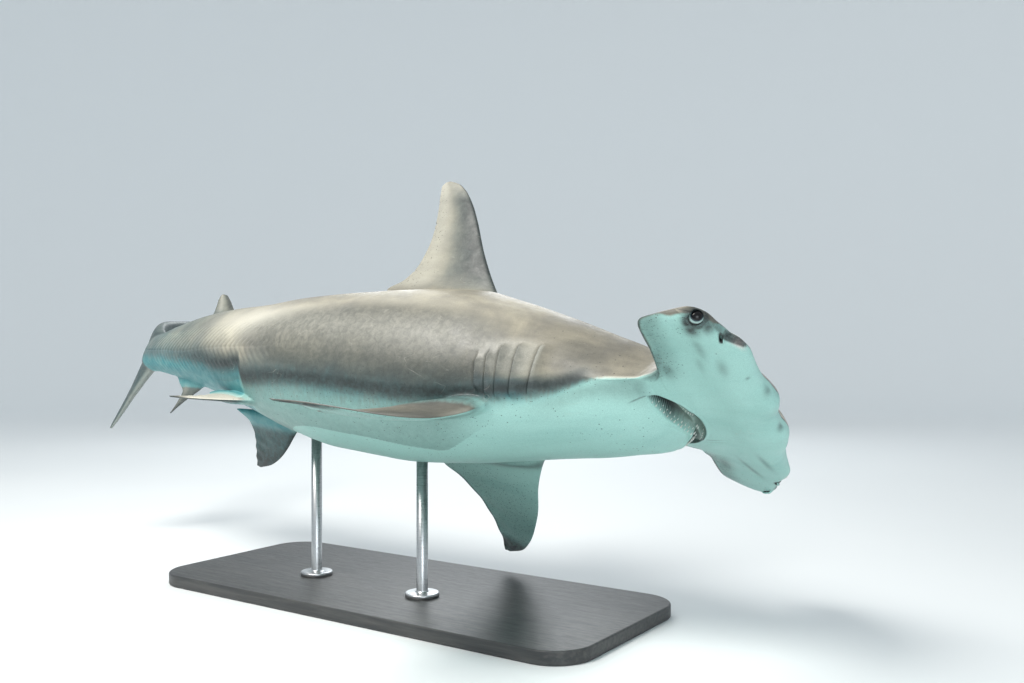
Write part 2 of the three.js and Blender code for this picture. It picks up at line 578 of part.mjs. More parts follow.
let head = bodyPart(0, NECK_START);
for (const side of [1, -1]) head = head.add(lid(side)).subtract(eyeBall(side, GAP)).subtract(nostril(side));
const pocket = mouthPocket();
const jaw = largest(bodyPart(0, NECK_START).intersect(jawBlock(0)).subtract(pocket));
head = largest(head.subtract(pocket).subtract(jawBlock(GAP / TOTAL_LENGTH)));
head = withTeeth(head, UPPER_TEETH, upperLip, -0.0004, -1, 0.0015, 0.8);
const lowerJaw = withTeeth(jaw, LOWER_TEETH, jawEdge, 0.0018, 1, 0.0025, 0.88);

// The stand: a flat rounded base and two rods with flanged feet that end at the belly.
const BASE = { length: 1500, width: 620, thickness: 36, corner: 110, edge: 5 };
const ROD = { radius: 16, foot: 48, footHeight: 12, chamfer: 4, collar: 6, shares: [0.312, 0.44] };
function standBase() {
  const [x, y, r] = [BASE.length / 2 - BASE.edge, BASE.width / 2 - BASE.edge, BASE.corner - BASE.edge];
  const outline = new THREE.Shape();
  outline.absarc(x - r, y - r, r, 0, Math.PI / 2);
  outline.absarc(r - x, y - r, r, Math.PI / 2, Math.PI);
  outline.absarc(r - x, r - y, r, Math.PI, Math.PI * 1.5);
  outline.absarc(x - r, r - y, r, Math.PI * 1.5, Math.PI * 2);
  const plate = new THREE.ExtrudeGeometry(outline, {
    depth: BASE.thickness - 2 * BASE.edge, bevelThickness: BASE.edge, bevelSize: BASE.edge, bevelSegments: 1,
    curveSegments: 7,
  });
  return toSolid(plate.translate(0, 0, BASE.edge));
}
function standRod(share) {
  const top = place([share, 0, 0]);
  const foot = BASE.thickness + GAP;
  const flange = foot + ROD.footHeight;
  const profile = [
    [0, foot], [ROD.foot, foot], [ROD.foot, flange - ROD.chamfer], [ROD.foot - ROD.chamfer, flange],
    [ROD.radius + ROD.collar, flange], [ROD.radius, flange + ROD.collar], [ROD.radius, top.z], [0, top.z],
  ];
  const turned = new THREE.LatheGeometry(profile.map(([radius, z]) => new THREE.Vector2(radius, z)), 20);
  turned.rotateX(Math.PI / 2).translate(top.x, top.y, 0);
  return largest(toSolid(turned).subtract(grown));
}

const MATERIALS = {
  skin: { color: 0x8f9389, roughness: 0.45, metalness: 0 },
  fins: { color: 0x7f8a86, roughness: 0.45, metalness: 0 },
  jaw: { color: 0xa9cdc6, roughness: 0.4, metalness: 0 },
  eye: { color: 0x0b0d10, roughness: 0.08, metalness: 0 },
  base: { color: 0x2f3336, roughness: 0.5, metalness: 0 },
  rod: { color: 0xb9bcbe, roughness: 0.3, metalness: 1 },
};
const NODES = {
  head: [head, "skin"],
  lower_jaw: [lowerJaw, "jaw"],
  eye_left: [eyeBall(1, 0), "eye"],
  eye_right: [eyeBall(-1, 0), "eye"],
  neck_with_gills: [bodyPart(NECK_START, GILLS_END), "skin"],
  torso_front: [bodyPart(GILLS_END, TORSO_SPLIT), "skin"],
  torso_rear: [bodyPart(TORSO_SPLIT, TAIL_START), "skin"],
  tail_stalk: [bodyPart(TAIL_START, BODY_END), "skin"],
  pectoral_fin_left: [rooted(fin(PECTORAL)), "fins"],
  pectoral_fin_right: [rooted(fin(mirrored(PECTORAL, RIGHT_PECTORAL))), "fins"],
  pelvic_fin_left: [rooted(fin(PELVIC)), "fins"],
  pelvic_fin_right: [rooted(fin(mirrored(PELVIC, RIGHT_PELVIC))), "fins"],
  dorsal_fin_first: [rooted(fin(FIRST_DORSAL)), "fins"],
  dorsal_fin_second: [rooted(fin(SECOND_DORSAL)), "fins"],
  anal_fin: [rooted(fin(ANAL)), "fins"],
  caudal_fin_upper_lobe: [largest(upperLobe), "fins"],
  caudal_fin_lower_lobe: [largest(lowerLobe), "fins"],
  stand_base: [standBase(), "base"],
  stand_rod_front: [standRod(ROD.shares[0]), "rod"],
  stand_rod_rear: [standRod(ROD.shares[1]), "rod"],
};

const shark = new THREE.Group();
for (const [name, [solid, finish]] of Object.entries(NODES)) {
  const { vertProperties, triVerts } = solid.getMesh();
  const geometry = new THREE.BufferGeometry();
  geometry.setAttribute("position", new THREE.BufferAttribute(vertProperties, 3));
  geometry.setIndex(new THREE.BufferAttribute(triVerts, 1));
  const mesh = new THREE.Mesh(geometry, new THREE.MeshStandardMaterial(MATERIALS[finish]));
  mesh.name = name;
  shark.add(mesh);
}

export default shark;
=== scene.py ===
# A great hammerhead shark as a life-size display model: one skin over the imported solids, with
# separate eyes and teeth, on its stand. Metres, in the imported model's own frame.
import math
from functools import reduce

import bpy
import numpy as np
from mathutils import Matrix, Vector
from mathutils.bvhtree import BVHTree
from mathutils.kdtree import KDTree


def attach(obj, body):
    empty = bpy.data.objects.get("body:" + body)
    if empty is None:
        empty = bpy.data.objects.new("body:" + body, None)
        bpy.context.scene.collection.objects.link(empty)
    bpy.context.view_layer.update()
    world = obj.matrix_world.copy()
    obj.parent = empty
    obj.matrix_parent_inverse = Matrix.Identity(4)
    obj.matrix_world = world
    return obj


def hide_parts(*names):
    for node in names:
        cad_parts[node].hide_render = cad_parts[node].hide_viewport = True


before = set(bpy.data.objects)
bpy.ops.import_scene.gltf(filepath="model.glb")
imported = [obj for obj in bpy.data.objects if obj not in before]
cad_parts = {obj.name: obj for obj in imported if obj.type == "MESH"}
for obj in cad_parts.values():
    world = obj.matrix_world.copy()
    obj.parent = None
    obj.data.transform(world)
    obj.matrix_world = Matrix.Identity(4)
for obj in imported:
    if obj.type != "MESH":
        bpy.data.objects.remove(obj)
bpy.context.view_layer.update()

# Driving dimensions, the same as the solids'. Places are shares of the total length.
LENGTH = 3.4
SPINE_MARK = 0.3  # this place on the spine lies at SPINE_PLACE, in metres
SPINE_PLACE = np.array([0.170, -0.075, 0.650])
EDGE = 0.0007  # the thinnest trailing edge of a fin

# the spine's turns in degrees, from the nose to the tail
YAW = [
    (0, 8), (0.15, 5), (0.3, 0), (0.45, -5.2), (0.58, -7.2), (0.68, -8.5), (0.75, -26), (0.82, -41),
    (0.92, -50), (1.02, -59),
]
PITCH = [
    (0, -3.3), (0.15, -3.4), (0.3, -4.6), (0.45, -4), (0.58, -1), (0.72, 2), (0.82, 17), (0.92, 21),
    (1.02, 21),
]
ROLL = [
    (0, -32), (0.3, -23.2), (0.5, -23.6), (0.68, -22.6), (0.76, -23.4), (0.84, -32), (0.92, -35), (1.02, -35),
]
# the body's half width, and how high its back and how low its belly lie
HALF_WIDTH = [
    (0.08, 0.056), (0.09, 0.0548), (0.1, 0.053), (0.12, 0.0512), (0.14, 0.0515), (0.17, 0.0555), (0.2, 0.06),
    (0.26, 0.066), (0.32, 0.068), (0.38, 0.066), (0.44, 0.061), (0.5, 0.053), (0.56, 0.043), (0.62, 0.032),
    (0.67, 0.022), (0.715, 0.014), (0.745, 0.0085),
]
BACK_HEIGHT = [
    (0, 0.011), (0.03, 0.0165), (0.05, 0.0215), (0.07, 0.0272), (0.09, 0.0312), (0.12, 0.0395), (0.16, 0.052),
    (0.2, 0.0628), (0.23, 0.0695), (0.26, 0.0748), (0.32, 0.0716), (0.38, 0.0654), (0.44, 0.0582),
    (0.5, 0.0484), (0.56, 0.044), (0.62, 0.0375), (0.67, 0.0293), (0.712, 0.0215), (0.745, 0.0235),
]
BELLY_DEPTH = [
    (0, 0.009), (0.05, 0.0172), (0.07, 0.0212), (0.08, 0.0262), (0.09, 0.0316), (0.1, 0.0364), (0.12, 0.0406),
    (0.16, 0.0466), (0.2, 0.0538), (0.26, 0.0643), (0.32, 0.0705), (0.38, 0.0706), (0.44, 0.0645),
    (0.5, 0.0535), (0.56, 0.0422), (0.62, 0.0325), (0.67, 0.0248), (0.712, 0.0205), (0.745, 0.0215),
]
TIP = 0.1355  # half the hammer's span
SNOUT = 0.0135  # the body's depths are counted from here
# the hammer's edges and its thickness, from the middle out to the tip
FRONT_MARGIN = [
    (0, 0.0165), (0.008, 0.0158), (0.016, 0.0135), (0.0235, 0.0125), (0.031, 0.0138), (0.04, 0.0157),
    (0.05, 0.0186), (0.067, 0.0199), (0.0855, 0.0203), (0.097, 0.0236), (0.1045, 0.0287), (0.11, 0.0308),
    (0.1175, 0.0342), (0.126, 0.0372), (0.131, 0.0412), (0.134, 0.0462), (TIP, 0.0525),
]
REAR_MARGIN = [
    (0, 0.118), (0.02, 0.114), (0.035, 0.106), (0.048, 0.095), (0.0555, 0.0875), (0.0605, 0.0842),
    (0.067, 0.0825), (0.0745, 0.0824), (0.093, 0.0828), (0.1043, 0.0827), (0.1155, 0.0822), (0.1215, 0.081),
    (0.1265, 0.0782), (0.1298, 0.0725), (0.1323, 0.065), (TIP, 0.053),
]
WING_HALF_THICKNESS = [(0, 0.0085), (0.06, 0.0072), (0.095, 0.0062), (0.12, 0.006), (TIP, 0.006)]
# how far the head's middle swells below the hammer's own underside, which stays nearly flat
UNDERSIDE = [
    (0, 0.006), (0.03, 0.007), (0.05, 0.0045), (0.064, 0.0045), (0.075, 0.0035), (0.085, 0.0045),
    (0.0955, 0.0125), (0.13, 0.02),
]
BLADE_DROP = 0.004
RIDGE_DROP = 0.009
NOSE = 0.03  # the depth over which the front edge rounds

# the gill slits, the lower and upper end of each, and how they fan out upwards
SLITS = (0.1778, 0.191, 0.2016, 0.2097, 0.2172)
SLIT_ENDS = ((-0.0224, 0.0139), (-0.0247, 0.0123), (-0.0264, 0.0098), (-0.0268, 0.0033), (-0.0228, -0.0009))
SLIT_FAN = 0.185
FAN_START, FAN_MIDDLE, FAN_END = 0.149, 0.1935, 0.231  # where the skin slides with the slits
SLIT_FOOT = -0.023
SLIT_HEIGHT = 0.037
FLAP_RISE = 0.003
FLAP_LENGTH = 0.0135
SLIT_DEPTH = 0.0022

MOUTH_HALF_WIDTH = 0.0415
UPPER_LIP = 0.0656
JAW_FRONT = 0.0722
MOUTH_CORNER = 0.0955
JAW_DROP = 0.0078
JAW_ROLL = 0.02
MOUTH_DEPTH = 0.0105

SIDES = (1, -1)  # left and right


def clamp01(x):
    return np.clip(x, 0.0, 1.0)


def smooth(start, end, x):
    t = clamp01((np.asarray(x, float) - start) / (end - start))
    return t * t * (3 - 2 * t)


def window(start, full, fading, end, x):
    """Rises from start to full and falls again from fading to end."""
    return smooth(start, full, x) * smooth(end, fading, x)


def bell(x, middle, width):
    """One at the middle, falling to both sides."""
    return np.exp(-((x - middle) / width) ** 2)


def most(*values):
    """The highest of several values, point by point."""
    return reduce(np.maximum, values)


def mix(a, b, t):
    return a + (b - a) * t


def curve(pairs):
    """A smooth curve through the pairs that never overshoots them."""
    xs, ys = np.array(pairs, float).T
    h = np.diff(xs)
    slope = np.diff(ys) / h
    tangent = np.zeros(len(xs))
    tangent[0], tangent[-1] = slope[0], slope[-1]
    for i in range(1, len(xs) - 1):
        before, after = slope[i - 1], slope[i]
        if before * after > 0:
            a, b = 2 * h[i] + h[i - 1], h[i] + 2 * h[i - 1]
            tangent[i] = (a + b) / (a / before + b / after)

    def at(x):
        x = np.asarray(x, float)
        i = np.clip(np.searchsorted(xs, x) - 1, 0, len(xs) - 2)
        t = clamp01((x - xs[i]) / h[i])
        rest = 1 - t
        return (
            rest * rest * (1 + 2 * t) * ys[i]
            + t * rest * rest * h[i] * tangent[i]
            + t * t * (3 - 2 * t) * ys[i + 1]
            - t * t * rest * h[i] * tangent[i + 1]
        )

    return at


yaw_at, pitch_at, roll_at = curve(YAW), curve(PITCH), curve(ROLL)
half_width_at, back_at, belly_at = curve(HALF_WIDTH), curve(BACK_HEIGHT), curve(BELLY_DEPTH)
front_margin, rear_margin, wing_at = curve(FRONT_MARGIN), curve(REAR_MARGIN), curve(WING_HALF_THICKNESS)
underside_at = curve(UNDERSIDE)

# The bent spine
SPINE_STEP = 0.0025
SPINE_STEPS = 408
HALVINGS = 40
CHUNK = 20000  # points handled at a time, to spare memory


def turn(yaw, pitch, roll):
    return Matrix.Rotation(yaw, 3, "Z") @ Matrix.Rotation(-pitch, 3, "Y") @ Matrix.Rotation(roll, 3, "X")


shares = np.arange(SPINE_STEPS + 1) * SPINE_STEP
spine_axes = np.array([
    turn(*angles) for angles in np.radians(np.stack([yaw_at(shares), pitch_at(shares), roll_at(shares)], 1))
])
forward = spine_axes[:, :, 0]
spine_points = np.zeros((SPINE_STEPS + 1, 3))
spine_points[1:] = -np.cumsum((forward[1:] + forward[:-1]) / 2, axis=0) * SPINE_STEP * LENGTH
spine_points += SPINE_PLACE - spine_points[round(SPINE_MARK / SPINE_STEP)]


def spine_at(i, t):
    """The spine's place, its left and its up at a share of the way between two of its steps."""
    rows = (spine_points, spine_axes[:, :, 1], spine_axes[:, :, 2])
    return [mix(values[i], values[i + 1], t[..., None]) for values in rows]


def place(local):
    """Places on the straight animal (back, left, up, in shares) to places in the room."""
    local = np.asarray(local, float)
    at = np.maximum(0, local[..., 0] / SPINE_STEP)
    i = np.minimum(SPINE_STEPS - 1, np.floor(at)).astype(int)
    point, left, up = spine_at(i, at - i)
    return point + (left * local[..., 1:2] + up * local[..., 2:3]) * LENGTH


def unplace(points):
    """Places in the room back to places on the straight animal."""
    result = np.empty_like(points)
    for start in range(0, len(points), CHUNK):
        chunk = points[start:start + CHUNK]
        along = chunk @ forward.T - np.sum(spine_points * forward, 1)
        cross = (along[:, :-1] <= 0) & (along[:, 1:] > 0)
        apart = np.linalg.norm(chunk[:, None, :] - spine_points[None, :-1, :], axis=2)
        i = np.argmin(np.where(cross, apart, apart + 100), axis=1)
        rows = np.arange(len(chunk))
        low, high = along[rows, i], along[rows, i + 1]
        gap = np.where(np.abs(high - low) < 1e-12, 1, high - low)
        t = np.clip(-low / gap, -20, 20)
        t = np.where(cross.any(1), clamp01(t), t)
        point, left, up = spine_at(i, t)
        offset = (chunk - point) / LENGTH
        local = [(i + t) * SPINE_STEP, np.sum(offset * left, 1), np.sum(offset * up, 1)]
        result[start:start + CHUNK] = np.stack(local, 1)
    return result


def foil(x):
    """Half thickness along a chord, from the round front edge at 0 to the sharp rear edge at 1."""
    x = np.asarray(x, float)
    shape = 0.2969 * np.sqrt(x) - 0.126 * x - 0.3516 * x * x + 0.2843 * x ** 3 - 0.1036 * x ** 4
    return np.maximum(0, 10 * shape)


def soft_max(a, b, power):
    """The larger of two values, rounded where they meet."""
    return (a ** power + b ** power) ** (1 / power)


# The hammer's plan and the body's section. Depth is how far a place lies behind the front edge.
def chord_at(across):
    return rear_margin(across) - front_margin(across)


def hammer_reach(depth):
    """How far out the hammer is still as deep as this, by halving."""
    inner = np.zeros_like(depth)
    outer = np.full_like(depth, TIP)
    for _ in range(HALVINGS):
        middle = (inner + outer) / 2
        inside = chord_at(middle) >= depth
        inner, outer = np.where(inside, middle, inner), np.where(inside, outer, middle)
    return np.where(chord_at(0.0) < depth, 0, inner)


def reach_at(depth):
    """The half width of the hammer or the body."""
    return soft_max(hammer_reach(depth), np.where(depth > 0.05, half_width_at(depth + SNOUT), 0), 8)


# The mouth
def from_middle(across):
    return clamp01(np.abs(across) / MOUTH_HALF_WIDTH)


def upper_lip(across):
    return UPPER_LIP + (MOUTH_CORNER - UPPER_LIP) * (1 - (1 - from_middle(across) ** 2) ** 0.55)


def jaw_edge(across):
    return JAW_FRONT + (MOUTH_CORNER - JAW_FRONT) * from_middle(across) ** 1.15


def side_drop(station, across):
    """How far the hammer's side edge lies below the spine's level."""
    ridge = smooth(0.05, 0.085, station) * (1 - smooth(0.055, 0.09, np.abs(across)))
    return mix(BLADE_DROP, RIDGE_DROP, ridge) * (1 - smooth(0.12, 0.18, station))


def level(depth, across, upper, reach):
    """The level of the back or the belly over the spine's."""
    side = np.minimum(np.abs(across), TIP)
    station = depth + SNOUT
    drop = side_drop(station, across)
    inward = clamp01(np.abs(across) / reach)
    wide = mix(0.092, reach, smooth(0.066, 0.098, station))
    nose = np.sqrt(1 - (1 - clamp01(depth / NOSE)) ** 2)
    sides = mix(np.sqrt(1 - inward ** 6), 1, smooth(0.1, 0.16, station))
    inside = np.maximum(0, 1 - (across / wide) ** 2)
    tip_round = np.sqrt(1 - (side / TIP) ** 22)
    wing = wing_at(side) * foil(clamp01(depth / np.maximum(1e-6, chord_at(side)))) * tip_round

    def swollen(height, power):
        return soft_max(np.maximum(0, height) * nose * sides * inside ** power, wing, 1.6)

    back = swollen(back_at(station) + drop, mix(1.8, 0.5, smooth(0.055, 0.125, station)))
    throat = swollen(belly_at(station) - drop, mix(1.4, 0.5, smooth(0.085, 0.15, station)))
    jaw = JAW_DROP * (1 - from_middle(across) ** 2) * smooth(0, 0.004, station - upper_lip(across))
    flat = swollen(underside_at(station), 0.6) + jaw
    behind = clamp01((station - jaw_edge(across)) / JAW_ROLL)
    belly = mix(flat, throat, np.sqrt(1 - (1 - behind) ** 2))
    return np.where(upper, back, -belly) - drop


def back_of(depth, across):
    """How far back a place lies: at the hammer its depth counts from the front edge, behind it from
    the snout.
    """
    hold = 1 - smooth(0.085, 0.15, depth)
    return depth + SNOUT + (front_margin(np.minimum(np.abs(across), TIP)) - SNOUT) * hold


def mouth_shape(back, across):
    """How far the skin is pushed up into the mouth, and how far out the lips stand."""
    inside = np.abs(across) < MOUTH_HALF_WIDTH
    behind_lip = np.where(inside, back - upper_lip(across), -1)
    before_jaw = np.where(inside, jaw_edge(across) - back, -1)
    wall = smooth(0, 0.0016, behind_lip) * smooth(0, 0.0012, before_jaw)
    deep = mix(0.0042, MOUTH_DEPTH, smooth(0.001, 0.011, behind_lip))
    lips = 0.0005 * bell(behind_lip, -0.0008, 0.0013) + 0.0007 * bell(before_jaw, -0.001, 0.0014)
    furrow = 0.0003 * bell(before_jaw, -0.0042, 0.0009)
    return wall * deep, (lips - furrow) * inside * (1 - from_middle(across) ** 6)


# Gill flaps
def gill_rise(station, up):
    """How far the skin stands out at the gills, and masks for the painted shade in the slits and for the
    painted highlights along the flaps' edges.
    """
    rise, slit_shade_mask, rim_highlight_mask = np.zeros((3, *np.broadcast(station, up).shape))
    for k, (slit, (foot, top)) in enumerate(zip(SLITS, SLIT_ENDS)):
        front = SLITS[k - 1] if k else slit - FLAP_LENGTH
        shown = window(foot - 0.003, foot + 0.002, top - 0.004, top + 0.002, up)
        along = (station - front) / (slit - front)
        on_flap = (along > 0) & (along <= 1)
        rise += np.where(on_flap, FLAP_RISE * shown * clamp01(along) ** 2.2, 0)
        # the pale edge of each flap is a painted highlight
        rim_highlight_mask += np.where(on_flap, shown * smooth(0.8, 0.96, along), 0)
        behind = np.maximum(0, station - slit)
        rise -= SLIT_DEPTH * shown * np.where(station > slit, bell(behind, 0, 0.0016), 0)
        # the dark line of each slit is painted shade
        slit_shade_mask += shown * np.where(along > 0.985, bell(behind, 0, 0.0014), 0)
    return rise, slit_shade_mask, rim_highlight_mask


def slit_lean(station, up):
    """How far the skin is slid back or forward, so that the slits fan out upwards."""
    share = clamp01((up - SLIT_FOOT) / SLIT_HEIGHT)
    fan = SLIT_FAN * (station - FAN_MIDDLE) * share
    return fan * window(FAN_START, SLITS[0], SLITS[-1], FAN_END, station)


# The muscle ridges along the flanks: chevrons that point back at the lateral line.
LATERAL_LINE = curve([
    (0.2, 0.016), (0.3, 0.006), (0.4, -0.004), (0.46, -0.011), (0.6, -0.0115), (0.66, -0.0065), (0.75, 0),
])
CHEVRON_STEP = 0.0086


def chevrons(station, up):
    """The ridges, from 0 between them to 1 on top of each."""
    above = up - LATERAL_LINE(station)
    lean = np.where(above > 0, 1.35, 1.15) * np.sqrt(above ** 2 + 0.0015 ** 2)
    phase = (station + lean) / CHEVRON_STEP
    saw = phase - np.floor(phase)
    ridge = np.sin(np.pi * saw) ** 1.4
    reach_up = mix(0.017, 0.026, smooth(0.3, 0.45, station))
    reach_down = mix(0.002, 0.014, smooth(0.36, 0.47, station))
    shown = window(-reach_down - 0.006, -reach_down + 0.004, reach_up - 0.01, reach_up, above)
    return ridge * shown * window(0.28, 0.44, 0.64, 0.72, station)


WAVES = 9
# the skin's slight unevenness, as (seed, waves in a length, height)
SWELLS = [(4, 9.0, 0.00035), (7, 26.0, 0.00016)]
CHEVRON_HEIGHT = 0.0008
SEAM_DEPTH, SEAM_WIDTH = 0.0004, 0.0009  # the groove of the lateral line


def bumps(local, seed, scale):
    """A smooth, seeded swell of the skin from a few crossed waves, between about -1 and 1."""
    rng = np.random.default_rng(seed)
    total = np.zeros(local.shape[:-1])
    for _ in range(WAVES):
        direction = rng.normal(size=3)
        direction *= scale * rng.uniform(0.6, 1.7) / np.linalg.norm(direction)
        total += np.sin(local @ direction * 2 * np.pi + rng.uniform(0, 2 * np.pi))
    return total / WAVES


# Meshes
def linked(name, data):
    """A new object of this data, in the scene."""
    made = bpy.data.objects.new(name, data)
    bpy.context.scene.collection.objects.link(made)
    return made


def welded(points, triangles):
    """Merges equal points and drops the triangles that collapse."""
    unique, inverse = np.unique(np.round(points, 7), axis=0, return_inverse=True)
    corners = inverse.reshape(-1)[triangles]
    return unique, corners[(corners != np.roll(corners, 1, axis=1)).all(1)]


def new_object(name, points, triangles):
    """A new smooth-shaded object of points and triangles."""
    mesh = bpy.data.meshes.new(name)
    mesh.vertices.add(len(points))
    mesh.vertices.foreach_set("co", points.astype(np.float32).ravel())
    mesh.loops.add(len(triangles) * 3)
    mesh.loops.foreach_set("vertex_index", triangles.astype(np.int32).ravel())
    mesh.polygons.add(len(triangles))
    mesh.polygons.foreach_set("loop_start", np.arange(0, len(triangles) * 3, 3, dtype=np.int32))
    mesh.polygons.foreach_set("use_smooth", np.ones(len(triangles), bool))
    mesh.update(calc_edges=True)
    return linked(name, mesh)


def outward_faces(points, triangles):
    """Turns a closed mesh's triangles round if they face inwards."""
    corners = points[triangles] - points[0]
    volume = np.einsum("ij,ij->i", corners[:, 0], np.cross(corners[:, 1], corners[:, 2])).sum()
    return points, triangles[:, ::-1] if volume < 0 else triangles


def split_quads(a, b, c, d):
    """Two triangles for each quad, from four arrays of its corners' numbers."""
    return np.concatenate([np.stack(corners, -1).reshape(-1, 3) for corners in ((a, b, c), (a, c, d))])


def spokes(count):
    """Even directions round a circle, as (cosine, sine)."""
    angles = [2 * math.pi * j / count for j in range(count)]
    return [(math.cos(a), math.sin(a)) for a in angles]


def loft(rings, bent=True):
    """A closed triangle mesh through rings of equal count, given in the animal's shares."""
    rings = np.asarray(rings)
    rows, count = rings.shape[:2]
    index = np.arange(rows * count).reshape(rows, count)
    a, b = index[:-1], np.roll(index[:-1], -1, axis=1)
    d, c = index[1:], np.roll(index[1:], -1, axis=1)
    caps = []
    for start, out in ((0, True), ((rows - 1) * count, False)):
        for j in range(count // 2):
            quad = [start + i % count for i in (j, j + 1, count - j - 1, count - j)]
            if out:
                quad.reverse()
            caps += [[quad[0], quad[1], quad[2]], [quad[0], quad[2], quad[3]]]
    triangles = np.concatenate([split_quads(a, b, c, d), np.array(caps)])
    points = rings.reshape(-1, 3)
    return outward_faces(*welded(place(points) if bent else points, triangles))


def joined(meshes):
    """Several meshes, each (points, triangles), as one."""
    points, triangles = zip(*meshes)
    starts = np.cumsum([0] + [len(part) for part in points])
    return np.concatenate(points), np.concatenate([part + start for part, start in zip(triangles, starts)])


def tree_of(points):
    """A tree that finds the nearest of some points."""
    tree = KDTree(len(points))
    for i, point in enumerate(points):
        tree.insert(point, i)
    tree.balance()
    return tree


def mesh_arrays(mesh):
    """A mesh's points and triangles."""
    points = np.empty(len(mesh.vertices) * 3, np.float32)
    mesh.vertices.foreach_get("co", points)
    mesh.calc_loop_triangles()
    triangles = np.empty(len(mesh.loop_triangles) * 3, np.int32)
    mesh.loop_triangles.foreach_get("vertices", triangles)
    return points.reshape(-1, 3).astype(float), triangles.reshape(-1, 3)


def boolean(first, second, operation):
    """Joins or cuts two closed meshes and returns the result's points and triangles."""
    a, b = new_object("first", *first), new_object("second", *second)
    modifier = a.modifiers.new("cut", "BOOLEAN")
    modifier.operation = operation
    modifier.solver = "MANIFOLD"
    modifier.object = b
    bpy.context.view_layer.update()
    made = bpy.data.meshes.new_from_object(a.evaluated_get(bpy.context.evaluated_depsgraph_get()))
    result = mesh_arrays(made)
    for scratch in (a, b):
        bpy.data.objects.remove(scratch)
    return result


# The body
HALF_COUNT = 230
SLIT_OFFSETS = [-0.0012, -0.0006, -0.0003, 0, 0.0002, 0.0004, 0.0007, 0.0011, 0.0016]
# how close the rings lie, as (first depth, last depth, step): closest at the mouth and the gills
RING_STEPS = [
    (0.031, 0.047, 0.001), (0.047, 0.058, 0.0007), (0.058, 0.071, 0.00045), (0.071, 0.087, 0.0006),
    (0.087, 0.142, 0.0013), (0.142, 0.206, 0.0009), (0.206, 0.28, 0.0018), (0.28, 0.705, 0.00125),
    (0.705, 0.7305, 0.0015),
]
FIRST_RINGS, LAST_DEPTH = 34, 0.7305
CLOSEST_RINGS = 0.00012


def body_depths():
    """The depths of the body's rings."""
    parts = [NOSE * np.linspace(0, 1, FIRST_RINGS) ** 1.8, [LAST_DEPTH]]
    parts += [np.arange(*row) for row in RING_STEPS]
    parts.append([slit - SNOUT + offset for slit in SLITS for offset in SLIT_OFFSETS])
    depths = np.unique(np.round(np.concatenate(parts), 5))
    return depths[np.concatenate([[True], np.diff(depths) > CLOSEST_RINGS])]


def smooth_skin(depth, angle):
    """Where the smooth body lies at an angle round it, across and up."""
    upper = angle <= np.pi
    reach = reach_at(depth)
    even = np.where(upper, 1 - 2 * angle / np.pi, 2 * angle / np.pi - 3)
    even = 0.55 * even + 0.45 * even ** 3
    across = reach * mix(np.cos(angle), even, 0.75 * smooth(0.05, 0.085, reach))
    on_side = np.abs(np.sin(angle)) < 1e-9
    return across, np.where(on_side, -side_drop(depth + SNOUT, across), level(depth, across, upper, reach))


def body():
    """The head and the body as one closed mesh, with its mouth, gills, ridges and lateral line."""
    depth = body_depths()[:, None]
    half = np.pi * np.linspace(0, 1, HALF_COUNT + 1)[:-1]
    angle = np.concatenate([half, np.pi + half])[None, :]
    upper = angle <= np.pi
    on_side = np.abs(np.sin(angle)) < 1e-9
    station = depth + SNOUT
    lean = slit_lean(station, smooth_skin(depth, angle)[1])
    across, up = smooth_skin(depth + lean, angle)
    size = np.maximum(1e-4, np.hypot(across, up))
    gills = gill_rise(station, up)[0]
    flank = CHEVRON_HEIGHT * chevrons(station, up)
    seam = SEAM_DEPTH * bell(up, LATERAL_LINE(station), SEAM_WIDTH) * smooth(0.22, 0.3, station)
    rise = 1 + (gills + flank - seam) / size
    back = back_of(depth, across) + lean
    push, lips = mouth_shape(back, across)
    up = up * rise + np.where(upper, 0, push - lips)
    rings = np.stack([back, across * rise, up + 0 * back], -1)
    swell = sum(height * bumps(rings, seed, scale) for seed, scale, height in SWELLS)
    fade = smooth(0.0, 0.02, depth) * (1 - smooth(0.6, 0.7, depth) * 0.7) * (size > 0.004)
    rings[..., 2] += swell * fade * np.sign(up) * (~on_side) * smooth(0, 0.004, np.abs(up))
    return loft(rings)


# Fins: rows of (front edge back, out, rear edge back, out) from the root to the tip, in a plane
# that leaves the body's middle at an angle, from a root at (left, up). A fin may bend, curl and
# twist towards its tip, droop at its rear inner corner and swing forward about its root. It flares
# where it comes out of the skin.
SECTION = 44
FLARE_REACH = 0.006
POSE = ("bend", "curl", "droop", "swing", "twist")


